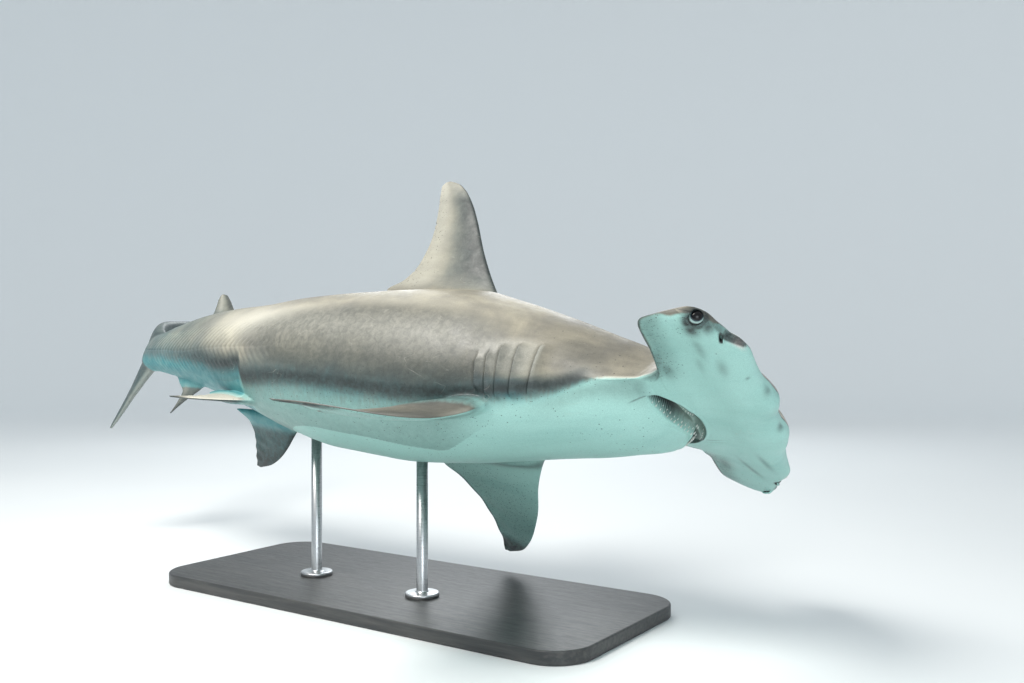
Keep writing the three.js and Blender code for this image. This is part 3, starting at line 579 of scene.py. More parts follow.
def fin_grid(rows, root, angle, thick, taper=0.8, flare=0.004, skin=0.01, waves=0.0, count=90, **pose):
    """The fin's rings, and for each point its share of the span (w) and of the chord (p), its face, and
    how far it is out of the skin.
    """
    bend, curl, droop, swing, twist = (pose.get(name, 0) for name in POSE)
    values = np.array(rows, float)
    columns = [curve([(i / (len(rows) - 1), v) for i, v in enumerate(values[:, c])]) for c in range(4)]
    outward = np.array([math.cos(math.radians(angle)), math.sin(math.radians(angle))])
    normal = np.array([-outward[1], outward[0]])
    span = values[-1, 1]
    pivot = (values[0, 0] + values[0, 2]) / 2
    r = (1 - (1 - np.linspace(0, 1, count)) ** 1.25)[:, None]
    front_back, front_out, rear_back, rear_out = [column(r) for column in columns]
    j = np.arange(2 * SECTION)[None, :]
    side = np.where(j <= SECTION, 1, -1)
    turned = np.pi * np.where(side > 0, j, 2 * SECTION - j) / SECTION
    p = (1 - np.cos(turned)) / 2
    out = mix(front_out, rear_out, p)
    w = np.maximum(0, out / span)
    ripple = waves * np.sin(34 * w + 9 * p) * smooth(0.35, 1, p) * smooth(0.15, 0.6, w)
    flared = flare * np.exp(-np.maximum(0, out - skin) / FLARE_REACH) * np.sqrt(clamp01(4 * p * (1 - p)))
    body_half = thick * (1 - taper * r) * foil(np.minimum(p, 0.995)) + flared
    half = np.where(j % SECTION == 0, 0, np.maximum(body_half, EDGE / 2 / LENGTH))
    twisted = np.tan(np.radians(twist) * w) * (p - 0.5) * (rear_back - front_back)
    lift = side * half + (bend * w ** 2 + curl * w ** 3) * span - droop * p * (1 - w) ** 2 + twisted + ripple
    turn_by = math.radians(swing)
    from_pivot = mix(front_back, rear_back, p) - pivot
    swung = out * math.cos(turn_by) + from_pivot * math.sin(turn_by)
    rings = np.stack([
        pivot + from_pivot * math.cos(turn_by) - out * math.sin(turn_by),
        root[0] + outward[0] * swung + normal[0] * lift,
        root[1] + outward[1] * swung + normal[1] * lift,
    ], -1)
    face = side * np.sign(normal[1] + 1e-9) + 0 * w
    return rings, w, p + 0 * w, face, smooth(skin - 0.002, skin + 0.01, out)


def mirrored(spec, pose, size=1.0):
    """The same fin on the other side, held in its own pose and at its own size."""
    start = spec["rows"][0][0]
    rows = [
        (mix(start, front, size), out * size, mix(start, rear, size), rear_out * size)
        for front, out, rear, rear_out in spec["rows"]
    ]
    turned = {**spec, **pose, "rows": rows, "root": (-spec["root"][0], spec["root"][1])}
    for name in ("bend", "curl", "droop", "twist"):
        turned[name] = -turned.get(name, 0)
    return turned


PECTORAL = dict(
    root=(0.05, -0.033), angle=-29, thick=0.0038, bend=0.02, droop=0.005, flare=0.0045, skin=0.015,
    waves=0.0004,
    rows=[
        (0.203, 0, 0.256, 0), (0.212, 0.012, 0.285, 0.016), (0.22, 0.027, 0.325, 0.033),
        (0.229, 0.048, 0.312, 0.05), (0.238, 0.076, 0.3005, 0.077), (0.249, 0.1, 0.297, 0.1),
        (0.263, 0.124, 0.297, 0.123), (0.28, 0.142, 0.3005, 0.1405), (0.294, 0.1475, 0.3015, 0.147),
    ],
)
RIGHT_PECTORAL = dict(angle=180 + 35.6, bend=0.355, curl=-0.064, swing=18.1, twist=11.6)
PELVIC = dict(
    root=(0.026, -0.05), angle=-50, thick=0.0032, bend=0.02, flare=0.003, skin=0.008, waves=0.0004,
    rows=[
        (0.458, 0, 0.515, -0.004), (0.468, 0.008, 0.567, -0.002), (0.48, 0.019, 0.549, 0.009),
        (0.494, 0.032, 0.5455, 0.022), (0.512, 0.045, 0.549, 0.036), (0.531, 0.054, 0.5535, 0.048),
        (0.55, 0.0585, 0.5565, 0.0572),
    ],
)
RIGHT_PELVIC = dict(angle=180 + 25)
RIGHT_PELVIC_SIZE = 0.78
FIRST_DORSAL = dict(
    root=(0, 0.062), angle=90, thick=0.0046, flare=0.005, skin=0.0105,
    rows=[
        (0.248, 0, 0.352, 0), (0.2639, 0.0177, 0.385, 0.0125), (0.2734, 0.0296, 0.3685, 0.0235),
        (0.2903, 0.0537, 0.357, 0.04), (0.3067, 0.0809, 0.353, 0.064), (0.3189, 0.0984, 0.3562, 0.088),
        (0.3333, 0.1135, 0.361, 0.107), (0.3437, 0.12, 0.3632, 0.117), (0.353, 0.1224, 0.3605, 0.1214),
    ],
)
SECOND_DORSAL = dict(
    root=(0, 0.03), angle=84, thick=0.0028, flare=0.003, skin=0.011,
    rows=[
        (0.5795, 0, 0.61, -0.002), (0.592, 0.0125, 0.637, 0.0055), (0.604, 0.0215, 0.634, 0.0115),
        (0.616, 0.0305, 0.6355, 0.0225), (0.627, 0.0368, 0.638, 0.0325), (0.633, 0.0378, 0.637, 0.0372),
    ],
)
ANAL = dict(
    root=(0, -0.026), angle=-90, thick=0.0028, flare=0.003, skin=0.008,
    rows=[
        (0.59, 0, 0.635, 0), (0.602, 0.0125, 0.661, -0.004), (0.613, 0.0195, 0.6455, 0.008),
        (0.6255, 0.0275, 0.6345, 0.0165), (0.6365, 0.0355, 0.638, 0.0295), (0.6425, 0.0405, 0.6435, 0.0397),
    ],
)
CAUDAL_UPPER = dict(
    root=(0, 0), angle=90, thick=0.0082, taper=0.85, flare=0.0, count=150,
    rows=[
        (0.7, 0.015, 0.735, -0.014), (0.722, 0.0235, 0.776, -0.012), (0.755, 0.0345, 0.788, 0.004),
        (0.8, 0.054, 0.82, 0.022), (0.85, 0.078, 0.86, 0.043), (0.9, 0.102, 0.905, 0.0665),
        (0.935, 0.119, 0.9405, 0.092), (0.955, 0.1285, 0.965, 0.107), (0.968, 0.1345, 0.978, 0.124),
        (0.975, 0.1375, 0.9775, 0.135),
    ],
)
CAUDAL_LOWER = dict(
    root=(0, 0), angle=-90, thick=0.0072, taper=0.85, flare=0.0,
    rows=[
        (0.7, -0.008, 0.742, -0.012), (0.7105, 0.007, 0.777, -0.002), (0.716, 0.0205, 0.7845, 0.0125),
        (0.727, 0.0315, 0.7885, 0.0225), (0.7395, 0.0435, 0.7925, 0.034), (0.756, 0.0535, 0.797, 0.0465),
        (0.772, 0.0665, 0.8, 0.0605), (0.785, 0.0795, 0.7995, 0.0765), (0.7925, 0.087, 0.797, 0.0862),
    ],
)
FINS = {
    "pectoral_left": PECTORAL, "pectoral_right": mirrored(PECTORAL, RIGHT_PECTORAL), "pelvic_left": PELVIC,
    "pelvic_right": mirrored(PELVIC, RIGHT_PELVIC, RIGHT_PELVIC_SIZE), "dorsal_first": FIRST_DORSAL,
    "dorsal_second": SECOND_DORSAL, "anal": ANAL, "caudal_upper": CAUDAL_UPPER, "caudal_lower": CAUDAL_LOWER,
}

# Eyes and nostrils
EYE_PLACE = np.array([0.0446, 0.1274, -0.0053])
EYE_RADIUS = 0.016
EYE_FACING = np.array([0.3, 0.87, -0.39])  # forward, outward, up
SOCKET_GAP = 0.0004
LID = dict(radius=0.017, thickness=0.0025, out=0.0034)
LID_OPENING = dict(out=0.0125, radii=(0.0158, 0.0158, 0.0118))


def unit_ball(segments):
    """Points and triangles of a sphere of radius one, its poles on the third axis."""
    rows = segments // 2
    points, triangles = [(0, 0, 1)], []
    for i in range(1, rows):
        wide, high = math.sin(math.pi * i / rows), math.cos(math.pi * i / rows)
        points += [(wide * x, wide * y, high) for x, y in spokes(segments)]
    points.append((0, 0, -1))
    last = len(points) - 1
    for j in range(segments):
        k = (j + 1) % segments
        triangles.append((0, 1 + j, 1 + k))
        triangles.append((last, last - segments + k, last - segments + j))
        for i in range(rows - 2):
            a, b = 1 + i * segments + j, 1 + i * segments + k
            triangles += [(a, a + segments, b + segments), (a, b + segments, b)]
    return np.array(points), np.array(triangles)


def egg(centre, radii, turned=None, segments=48):
    """An egg-shaped closed mesh at a place on the animal, its radii in metres along its own axes."""
    points, triangles = unit_ball(segments)
    offsets = points * np.array(radii)
    if turned is not None:
        offsets = offsets @ np.array(turned)
    # the animal's own axes (back, left, up) are left-handed, so the faces turn round
    return outward_faces(place(np.array(centre) + offsets / LENGTH), triangles)


def on_side(spot, side):
    return np.array([spot[0], side * spot[1], spot[2]])


def gaze_axes(side):
    """The eye's own axes, as rows in (back, left, up): across, upright and the way it looks."""
    facing = Vector((-EYE_FACING[0], side * EYE_FACING[1], EYE_FACING[2]))
    return np.array(facing.normalized().to_track_quat("Z", "Y").to_matrix()).T


def lid(side):
    """The raised ring of skin round the eye, thicker above and below."""
    axes, around, tube = gaze_axes(side), 96, 24
    a = (2 * np.pi * np.arange(around) / around)[:, None]
    b = (2 * np.pi * np.arange(tube) / tube)[None, :]
    thick = LID["thickness"] * (1 + 0.18 * np.sin(2 * a + 1))
    radius = LID["radius"] + thick * np.cos(b)
    ring = np.stack([radius * np.cos(a), radius * np.sin(a), LID["out"] + thick * np.sin(b)], -1)
    points = place(on_side(EYE_PLACE, side) + ring.reshape(-1, 3) @ axes / LENGTH)
    index = np.arange(around * tube).reshape(around, tube)
    beside, ahead = np.roll(index, -1, axis=1), np.roll(index, -1, axis=0)
    return outward_faces(points, split_quads(index, beside, np.roll(ahead, -1, axis=1), ahead))


def socket(side):
    """The hollow that the ball sits in."""
    return egg(on_side(EYE_PLACE, side), [EYE_RADIUS + SOCKET_GAP] * 3)


def lid_opening(side):
    """The hollow between the lids, in front of the ball."""
    axes = gaze_axes(side)
    return egg(on_side(EYE_PLACE, side) + axes[2] * LID_OPENING["out"] / LENGTH, LID_OPENING["radii"], axes)


def axes_along(start, end, upright=(0, 0, 1)):
    """Axes with the first one along the line between two places, as rows."""
    first = np.subtract(end, start)
    first = first / np.linalg.norm(first)
    second = np.cross(upright, first)
    second /= np.linalg.norm(second)
    return np.array([first, second, np.cross(first, second)])


# The nostril's slit, the wedge that runs inwards from it along the front edge, and its flap,
# each as (outer end, inner end, half width, half depth)
NOSTRIL_SLIT = ((0.0336, 0.1108, -0.0067), (0.034, 0.1049, -0.008), 0.0028, 0.01)
NOSTRIL_WEDGE = ((0.0312, 0.1085, -0.0058), (0.0228, 0.0962, -0.0032), 0.0045, 0.0062)
NOSTRIL_FLAP = ((0.0316, 0.1095, -0.0078), (0.0322, 0.104, -0.0096), 0.0022, 0.0035)


def nostril_piece(piece, side):
    """The slit, the wedge or the flap, as an egg along its line."""
    outer, inner = (on_side(spot, side) for spot in piece[:2])
    half_long = np.linalg.norm(outer - inner) * LENGTH / 2
    return egg((outer + inner) / 2, (half_long, piece[2], piece[3]), axes_along(outer, inner))


# Small pieces worn out of the first dorsal's rear edge: how far out, and how wide
NICKS = [(0.0795, 0.0032), (0.0745, 0.0026), (0.0335, 0.003), (0.101, 0.0022)]


def nicks():
    """Eggs that bite into the rear edge."""
    edge = fin_grid(**FIRST_DORSAL)[0][:, SECTION]
    made = []
    for out, size in NICKS:
        row = np.argmin(np.abs(edge[:, 2] - FIRST_DORSAL["root"][1] - out))
        made.append(egg(edge[row] + np.array([0.0002, 0, 0]), (size * 1.4, 0.02, size), segments=20))
    return joined(made)


RELAX_STEP = 0.6  # how far a point moves towards its neighbours' middle in a round


def relaxed(mesh, seeds, radius, rounds):
    """Evens a mesh near the seed points, so that what is joined there meets in a fillet."""
    points, triangles = mesh
    tree = tree_of(seeds)
    low, high = seeds.min(0) - radius, seeds.max(0) + radius
    near = np.nonzero(((points > low) & (points < high)).all(1))[0]
    weight = np.zeros(len(points))
    for i in near:
        weight[i] = tree.find(points[i])[2]
    weight[near] = 1 - smooth(0.35 * radius, radius, weight[near])
    sides = np.concatenate([triangles[:, [0, 1]], triangles[:, [1, 2]], triangles[:, [2, 0]]])
    edges = np.unique(np.sort(sides, axis=1), axis=0)
    edges = edges[(weight[edges[:, 0]] > 0) | (weight[edges[:, 1]] > 0)]
    touched = np.unique(edges)
    renumber = np.full(len(points), -1)
    renumber[touched] = np.arange(len(touched))
    a, b = renumber[edges[:, 0]], renumber[edges[:, 1]]
    moved = points[touched].copy()
    share = weight[touched][:, None] * RELAX_STEP
    number = np.bincount(a, minlength=len(touched)) + np.bincount(b, minlength=len(touched))
    for _ in range(rounds):
        mean = np.empty_like(moved)
        for axis in range(3):
            column = moved[:, axis]
            mean[:, axis] = np.bincount(a, column[b], len(touched)) + np.bincount(b, column[a], len(touched))
        mean /= number[:, None]
        moved += (mean - moved) * share
    points = points.copy()
    points[touched] = moved
    return points, triangles


def new_points(result, sources):
    """Points of a joined mesh that belong to none of its sources: those on the line where they meet."""
    known = set()
    for points, _ in sources:
        known.update(map(tuple, np.round(points.astype(np.float32).astype(float), 5).tolist()))
    return result[0][[tuple(point) not in known for point in np.round(result[0], 5).tolist()]]


def both(make, *rest):
    """A piece for each side of the animal."""
    return [make(*rest, side) for side in SIDES]


def build_skin():
    """The whole skin as one closed mesh."""
    trunk = body()
    lofted = {name: loft(fin_grid(**spec)[0]) for name, spec in FINS.items()}
    lower = lofted.pop("caudal_lower")
    fins = joined(lofted.values())
    first = boolean(trunk, fins, "UNION")
    second = boolean(first, lower, "UNION")
    seeds = np.concatenate([new_points(first, [trunk, fins]), new_points(second, [first, lower])])
    second = relaxed(second, seeds, radius=0.02, rounds=24)
    lids = joined(both(lid))
    third = boolean(second, lids, "UNION")
    third = relaxed(third, new_points(third, [second, lids]), radius=0.006, rounds=10)
    opened = boolean(third, joined(both(socket) + both(nostril_piece, NOSTRIL_SLIT)), "DIFFERENCE")
    wedges = both(nostril_piece, NOSTRIL_WEDGE) + both(lid_opening) + [nicks()]
    opened = boolean(opened, joined(wedges), "DIFFERENCE")
    return boolean(opened, joined(both(nostril_piece, NOSTRIL_FLAP)), "UNION")


skin_points, skin_triangles = build_skin()
skin = new_object("skin", skin_points, skin_triangles)
skin_local = unplace(skin_points)

# Where the markings lie. The first is the level at which the dark back gives way to the pale
# belly, from nose to tail, and the second how softly.
BORDER = curve([
    (0, 0.0006), (0.03, 0.0006), (0.055, -0.0035), (0.085, -0.0065), (0.12, -0.0072), (0.14, -0.011),
    (0.16, -0.019), (0.19, -0.0245), (0.24, -0.0325), (0.3, -0.0365), (0.38, -0.036), (0.44, -0.0385),
    (0.473, -0.04), (0.479, -0.0285), (0.5, -0.03), (0.532, -0.0285), (0.5555, -0.0245), (0.6, -0.0205),
    (0.63, -0.018), (0.68, -0.0125), (0.74, -0.008), (1, -0.004),
])
BORDER_WIDTH = curve([
    (0, 0.0008), (0.1, 0.0009), (0.13, 0.0015), (0.17, 0.005), (0.21, 0.008), (0.26, 0.014), (0.44, 0.014),
    (0.472, 0.01), (0.48, 0.0045), (1, 0.006),
])
# dusky marks under the hammer: (back, left, half size back, half size left, lean, strength)
SMUDGES = [
    (0.0479, -0.1205, 0.0045, 0.0075, 0, 0.8), (0.0385, -0.121, 0.0042, 0.0062, 0, 0.75),
    (0.0482, -0.0985, 0.003, 0.0125, -0.06, 0.3), (0.0515, -0.079, 0.0026, 0.009, 0, 0.2),
    (0.0378, -0.0774, 0.0032, 0.0085, 0, 0.34), (0.0755, -0.0695, 0.0055, 0.009, 0, 0.5),
    (0.0715, 0.0888, 0.006, 0.019, 0.1, 0.5), (0.0476, 0.0795, 0.0022, 0.014, -0.36, 0.45),
    (0.0336, 0.061, 0.0022, 0.014, -0.18, 0.4), (0.0167, -0.0424, 0.0022, 0.0055, 0, 0.4),
    (0.0156, 0.009, 0.0022, 0.004, 0, 0.55), (0.0252, -0.0634, 0.0011, 0.0013, 0, 0.5),
    (0.066, 0.0262, 0.008, 0.0007, 0, 0.3), (0.062, 0.031, 0.007, 0.0006, 0, 0.22),
]


def smudged(back, left):
    """The strongest of the smudges at each place."""
    total = np.zeros_like(back)
    for at_back, at_left, long_back, long_left, lean, strength in SMUDGES:
        across = left - at_left
        along = back - at_back - lean * across
        total = np.maximum(total, strength * bell(along, 0, long_back) * bell(across, 0, long_left))
    return total


def nostril_shade(local):
    """Painted shade in the nostrils' slits, and a little less in the wedges."""
    mask = np.zeros(len(local))
    for piece, reach, strength in ((NOSTRIL_SLIT, 0.001, 1), (NOSTRIL_WEDGE, 0.0028, 0.88)):
        for side in SIDES:
            start = on_side(piece[0], side)
            run = on_side(piece[1], side) - start
            share = clamp01((local - start) @ run / (run @ run))
            apart = np.linalg.norm(local - start - share[:, None] * run, axis=1)
            mask = np.maximum(mask, strength * smooth(reach + 0.001, reach, apart))
    return mask


def mouth_marks(back, left, up):
    """The inside of the mouth, the painted shade along its lip, and the painted shade in the fold that runs
    on from its corner.
    """
    belly_side = up < 0
    by_mouth = np.abs(left) < MOUTH_HALF_WIDTH
    behind_lip = np.where(by_mouth, back - upper_lip(left), 1)
    pushed = clamp01(3 * mouth_shape(back, left)[0] / MOUTH_DEPTH)
    inside = pushed * belly_side * smooth(-0.0004, 0.0004, behind_lip)
    lip_shade = bell(behind_lip, 0.0003, 0.0006) * belly_side * (back < 0.1) * by_mouth
    fold = bell(np.abs(left), 0.0408 - 0.3 * (back - 0.1), 0.0006) * smooth(-0.01, -0.014, up)
    return inside, lip_shade, fold * window(0.094, 0.097, 0.103, 0.112, back)


def gill_marks(back, up):
    """The painted shade in the slits, the painted highlights along the flaps' edges, the slits' dark feet,
    and the painted highlight over the flaps.
    """
    station = back
    for _ in range(4):
        station = back - slit_lean(station, up)
    _, slits, rim_highlights = gill_rise(station, up)
    end = SLITS[-1] + 0.001 + 0.016 * smooth(-0.0005, 0.006, up)  # softer above the last slit
    gills = window(SLITS[0] - 0.006, SLITS[0] + 0.012, SLITS[-1] - 0.001, end, station)
    return slits, rim_highlights, gills * bell(up, -0.0205, 0.006), gills * window(-0.016, -0.006, 0.007, 0.021, up)


def body_masks(local):
    """Masks from the place on the straight animal, each between 0 and 1 apart from pale."""
    back, left, up = local.T
    side = np.abs(left)
    capped = np.minimum(side, TIP)
    on_hammer = 1 - smooth(0.088, 0.1, back)
    blade = smooth(0.05, 0.075, side) * on_hammer
    under = smooth(-0.0035, -0.006, up)
    from_front = back - front_margin(capped)
    from_rear = np.maximum(0, rear_margin(capped) - back)
    from_eye = np.linalg.norm(np.stack([back, side, up], 1) - EYE_PLACE, axis=1)

    # how far below the border a place lies, in widths of the border: pale where this is over one
    tip_brown = smooth(0.113, 0.124, side) * smooth(0.068, 0.056, back)
    line_level = mix(0.0006, -0.0024, smooth(0.045, 0.085, side))  # the dark line along the front edge
    blade_border = mix(-0.0042, line_level + 0.0004, smooth(0.07, 0.05, back)) - 0.004 * tip_brown
    border = mix(BORDER(back), blade_border, blade)
    pale = (border - up) / mix(BORDER_WIDTH(back), 0.0007, blade)

    # behind the hammer the dark side sharpens into a pale line, and then a dusky band, deepened with painted
    # shade where the lower flank turns from the light
    neck = window(0.084, 0.09, 0.118, 0.136, back)
    ridge = bell(up, BORDER(back) + 0.0002, 0.0011) * neck * smooth(0.03, 0.045, side)
    band_width = mix(0.0066, 0.0092, smooth(0.22, 0.27, back))
    dusk_band = bell(up, BORDER(back) + 0.0045, band_width) * window(0.125, 0.145, 0.5, 0.72, back)
    neck_shade = bell(up, BORDER(back) - 0.0065, 0.006) * window(0.088, 0.1, 0.14, 0.2, back)
    # painted shade on the lower flank, which turns from the light
    shade = smooth(0.006, -0.03, up) * window(0.2, 0.26, 0.45, 0.62, back)

    # the hammer's edges, its eye and its nostrils
    front_edge = smooth(0.008, 0.004, from_front) * smooth(0.117, 0.1, side)
    edge_line = bell(up, line_level, 0.0006) * front_edge
    tip_line = bell(from_front, 0.0008, 0.0014) * smooth(0.105, 0.115, side) * (back < 0.06)
    rear_line = bell(from_rear, 0.0006, 0.0013) * smooth(0.052, 0.062, side) * (back > 0.055)
    rear_band = np.exp(-from_rear / 0.011) * blade * under * smooth(0.06, 0.07, back)
    tip_band = np.exp(-np.maximum(0, TIP - side) / 0.012) * blade * under
    round_eye = smooth(0.0105, 0.0062, from_eye) * (left < 0)  # on the right side only, as in the photograph
    # a painted highlight along the front edge's rim, tinted pink
    rim_light = bell(up, line_level + 0.0014, 0.0007) * front_edge * smooth(0.1, 0.09, side)
    nostril_lip = bell(from_front, 0.0008, 0.0016) * bell(side, 0.0985, 0.0045) * smooth(-0.001, -0.003, up)

    in_mouth, lip_shade, fold = mouth_marks(back, left, up)
    slits, rim_highlights, feet, flaps = gill_marks(back, up)
    # dark marks and painted shade: the slits, the nostrils, the lip, the fold, the neck and the lower flank
    # get painted shade, the dusky band partly; the rest are dark marks
    dusk = most(
        slits, nostril_shade(local), 0.98 * lip_shade, 0.75 * fold, 0.8 * edge_line, 0.7 * tip_line,
        0.85 * rear_line, 0.72 * rear_band, 0.95 * round_eye, 1.2 * smudged(back, left) * under * on_hammer,
        0.95 * dusk_band, 0.7 * feet, 0.38 * shade * (pale < 2), 0.36 * neck_shade,
        0.34 * bell(back, 0.15, 0.026) * bell(up, 0.006, 0.015),
    )
    # pale marks and painted light: painted highlights along the gill flaps' edges, painted light on the flaps
    # and on the upper flank where it faces the light, and the pale line behind the hammer
    light = most(
        0.9 * rim_highlights * smooth(-0.02, 0, up), 0.72 * flaps, 0.7 * ridge,
        0.3 * bell(back, 0.31, 0.08) * bell(up, 0.038, 0.02),
        0.82 * bell(up, 0.014, 0.02) * window(0.19, 0.27, 0.46, 0.6, back),
    )
    speckle = most(
        1.3 * rear_band, 0.8 * tip_band, 0.1 * window(0.085, 0.1, 0.12, 0.2, back),
        0.25 * bell(pale, 0.6, 1.6),
    )
    # the belly is a darker, mottled teal from the pelvic fins back
    above, below = 0.75 * smooth(0.46, 0.7, back), 0.95 * smooth(0.474, 0.481, back)
    tail_teal = mix(above, below, smooth(-0.6, 0.4, pale))
    border_teal = 0.5 * bell(pale, -0.6, 1.2) * smooth(0.12, 0.15, back)
    return dict(
        pale=pale, dusk=dusk, light=light, flush_and_rim_highlight=np.maximum(0.85 * rim_light, 0.9 * nostril_lip),
        speckle=clamp01(speckle), mouth=in_mouth, teal=tail_teal + border_teal + 0.6 * feet + 0.4 * dusk_band,
        # the muscle ridges' painted light and shade
        ridge=0.9 * chevrons(back, up),
    )


MASKS = ("pale", "dusk", "light", "flush_and_rim_highlight", "speckle", "mouth", "teal", "ridge")
FIRST_FIN = 0.19  # no fin reaches further forward than this
FIN_PALE = 3.0  # how far a fin's pale face lies past the border, and its dark face short of it


def fin_masks(name, w, p, face):
    """The same masks on a fin, from its root to its tip and from its front edge to its rear edge."""
    masks = dict.fromkeys(MASKS, 0.0)
    under = face < 0
    paired = name.startswith(("pectoral", "pelvic"))
    masks["pale"] = np.where(under & paired, FIN_PALE, -FIN_PALE)
    tip, rear, front = smooth(0.8, 0.99, w), smooth(0.93, 1, p), smooth(0.09, 0, p)
    if name.startswith("pectoral"):
        speckled = smooth(0.15, 0.75, w + 0.45 * p) * under
        dark_tip = 0.97 * smooth(0.8, 0.97, w + 0.06 * p)
        below = most(dark_tip, 0.85 * rear * smooth(0.1, 0.4, w), 0.22 * speckled)
        above = most(0.38 + 0.17 * smooth(0.12, 0.4, w), 0.7 * tip, 0.6 * rear)
        # painted highlights on the upper face near the root
        root_highlight = 0.6 * smooth(0.3, 0.12, w) * smooth(0.35, 0.9, p) + 0.4 * front * smooth(0.4, 0.2, w)
        masks.update(dusk=np.where(under, below, above), light=np.where(under, 0, root_highlight), speckle=speckled)
    elif name.startswith("pelvic"):
        below = most(0.78 + 0.2 * smooth(0.45, 0.95, w), 0.95 * smooth(0.3, 0, p), 0.9 * rear)
        above = most(0.8 * rear, 0.9 * smooth(0.85, 0.98, w))
        masks.update(
            dusk=np.where(under, below * smooth(-0.1, 0.25, w), above),
            light=np.where(under, 0, 0.75 * (1 - rear)), teal=0.8 * under, speckle=np.where(under, 0.5, 0.1),
        )
    elif name == "dorsal_first":
        # painted shade over the front half, and painted light towards the rear edge and the tip
        shaded = smooth(0.68, 0.1, p) * window(0.02, 0.3, 0.8, 1, w)
        front_line = 0.9 * smooth(0.035, 0.01, p) * smooth(0.02, 0.1, w)
        masks.update(
            dusk=most(shaded, front_line, 0.12), teal=0.16 + 0.5 * shaded, speckle=0.5 * smooth(0.6, 0.95, p),
            light=0.06 + 0.32 * smooth(0.45, 0.8, p) * smooth(0.05, 0.2, w) + 0.2 * tip,
        )
    elif name == "dorsal_second":
        dusk = most(0.8 * smooth(0.3, 0.05, p), 0.75 * rear)
        masks.update(dusk=dusk, light=0.35 * bell(p, 0.55, 0.2), teal=0.35)
    elif name == "anal":
        dusk = most(0.62 * smooth(0.1, 0.6, w), 0.7 * front)
        masks.update(dusk=dusk, light=0.35 * bell(p, 0.4, 0.15), teal=0.5)
    else:
        strength, rim_strength = (0.66, 0.3) if name == "caudal_upper" else (0.6, 1)
        rim = rim_strength * most(smooth(0.14, 0.02, p), 0.5 * smooth(0.9, 0.99, p))
        masks.update(dusk=strength * (1 - 0.75 * rim), light=0.3 * rim, teal=1, speckle=0.15)
    return masks


def skin_masks(points, local):
    """Each point's masks: the body's, or near a fin's own surface that fin's."""
    masks = body_masks(local)
    samples, values, weights = [], [], []
    for name, spec in FINS.items():
        rings, w, p, face, on_fin = fin_grid(**spec)
        samples.append(place(rings.reshape(-1, 3)))
        tones = fin_masks(name, w.ravel(), p.ravel(), face.ravel())
        values.append(np.stack([np.broadcast_to(tones[key], w.size) for key in MASKS], 1))
        weights.append(on_fin.ravel())
    samples, values, weights = np.concatenate(samples), np.concatenate(values), np.concatenate(weights)
    tree = tree_of(samples)
    nearest, apart = np.zeros(len(points), int), np.ones(len(points))
    for i in np.nonzero(local[:, 0] > FIRST_FIN)[0]:
        _, nearest[i], apart[i] = tree.find(points[i])
    share = weights[nearest] * smooth(0.009, 0.004, apart)
    tail = smooth(0.715, 0.735, local[:, 0]) * smooth(0.012, 0.006, apart)
    share = np.maximum(share, tail)
    for column, key in enumerate(MASKS):
        masks[key] = mix(masks[key], values[nearest, column], share)
    return masks


def store(made, name, values):
    """Keeps a number or a vector with each of an object's points, for its material."""
    values = np.asarray(values, np.float32)
    kind = "FLOAT_VECTOR" if values.ndim == 2 else "FLOAT"
    attribute = made.data.attributes.new(name, kind, "POINT")
    attribute.data.foreach_set("vector" if values.ndim == 2 else "value", values.ravel())


store(skin, "rest", skin_local * LENGTH)
for mask_name, mask_values in skin_masks(skin_points, skin_local).items():
    store(skin, mask_name, np.clip(mask_values, -6, 6) if mask_name == "pale" else clamp01(mask_values))


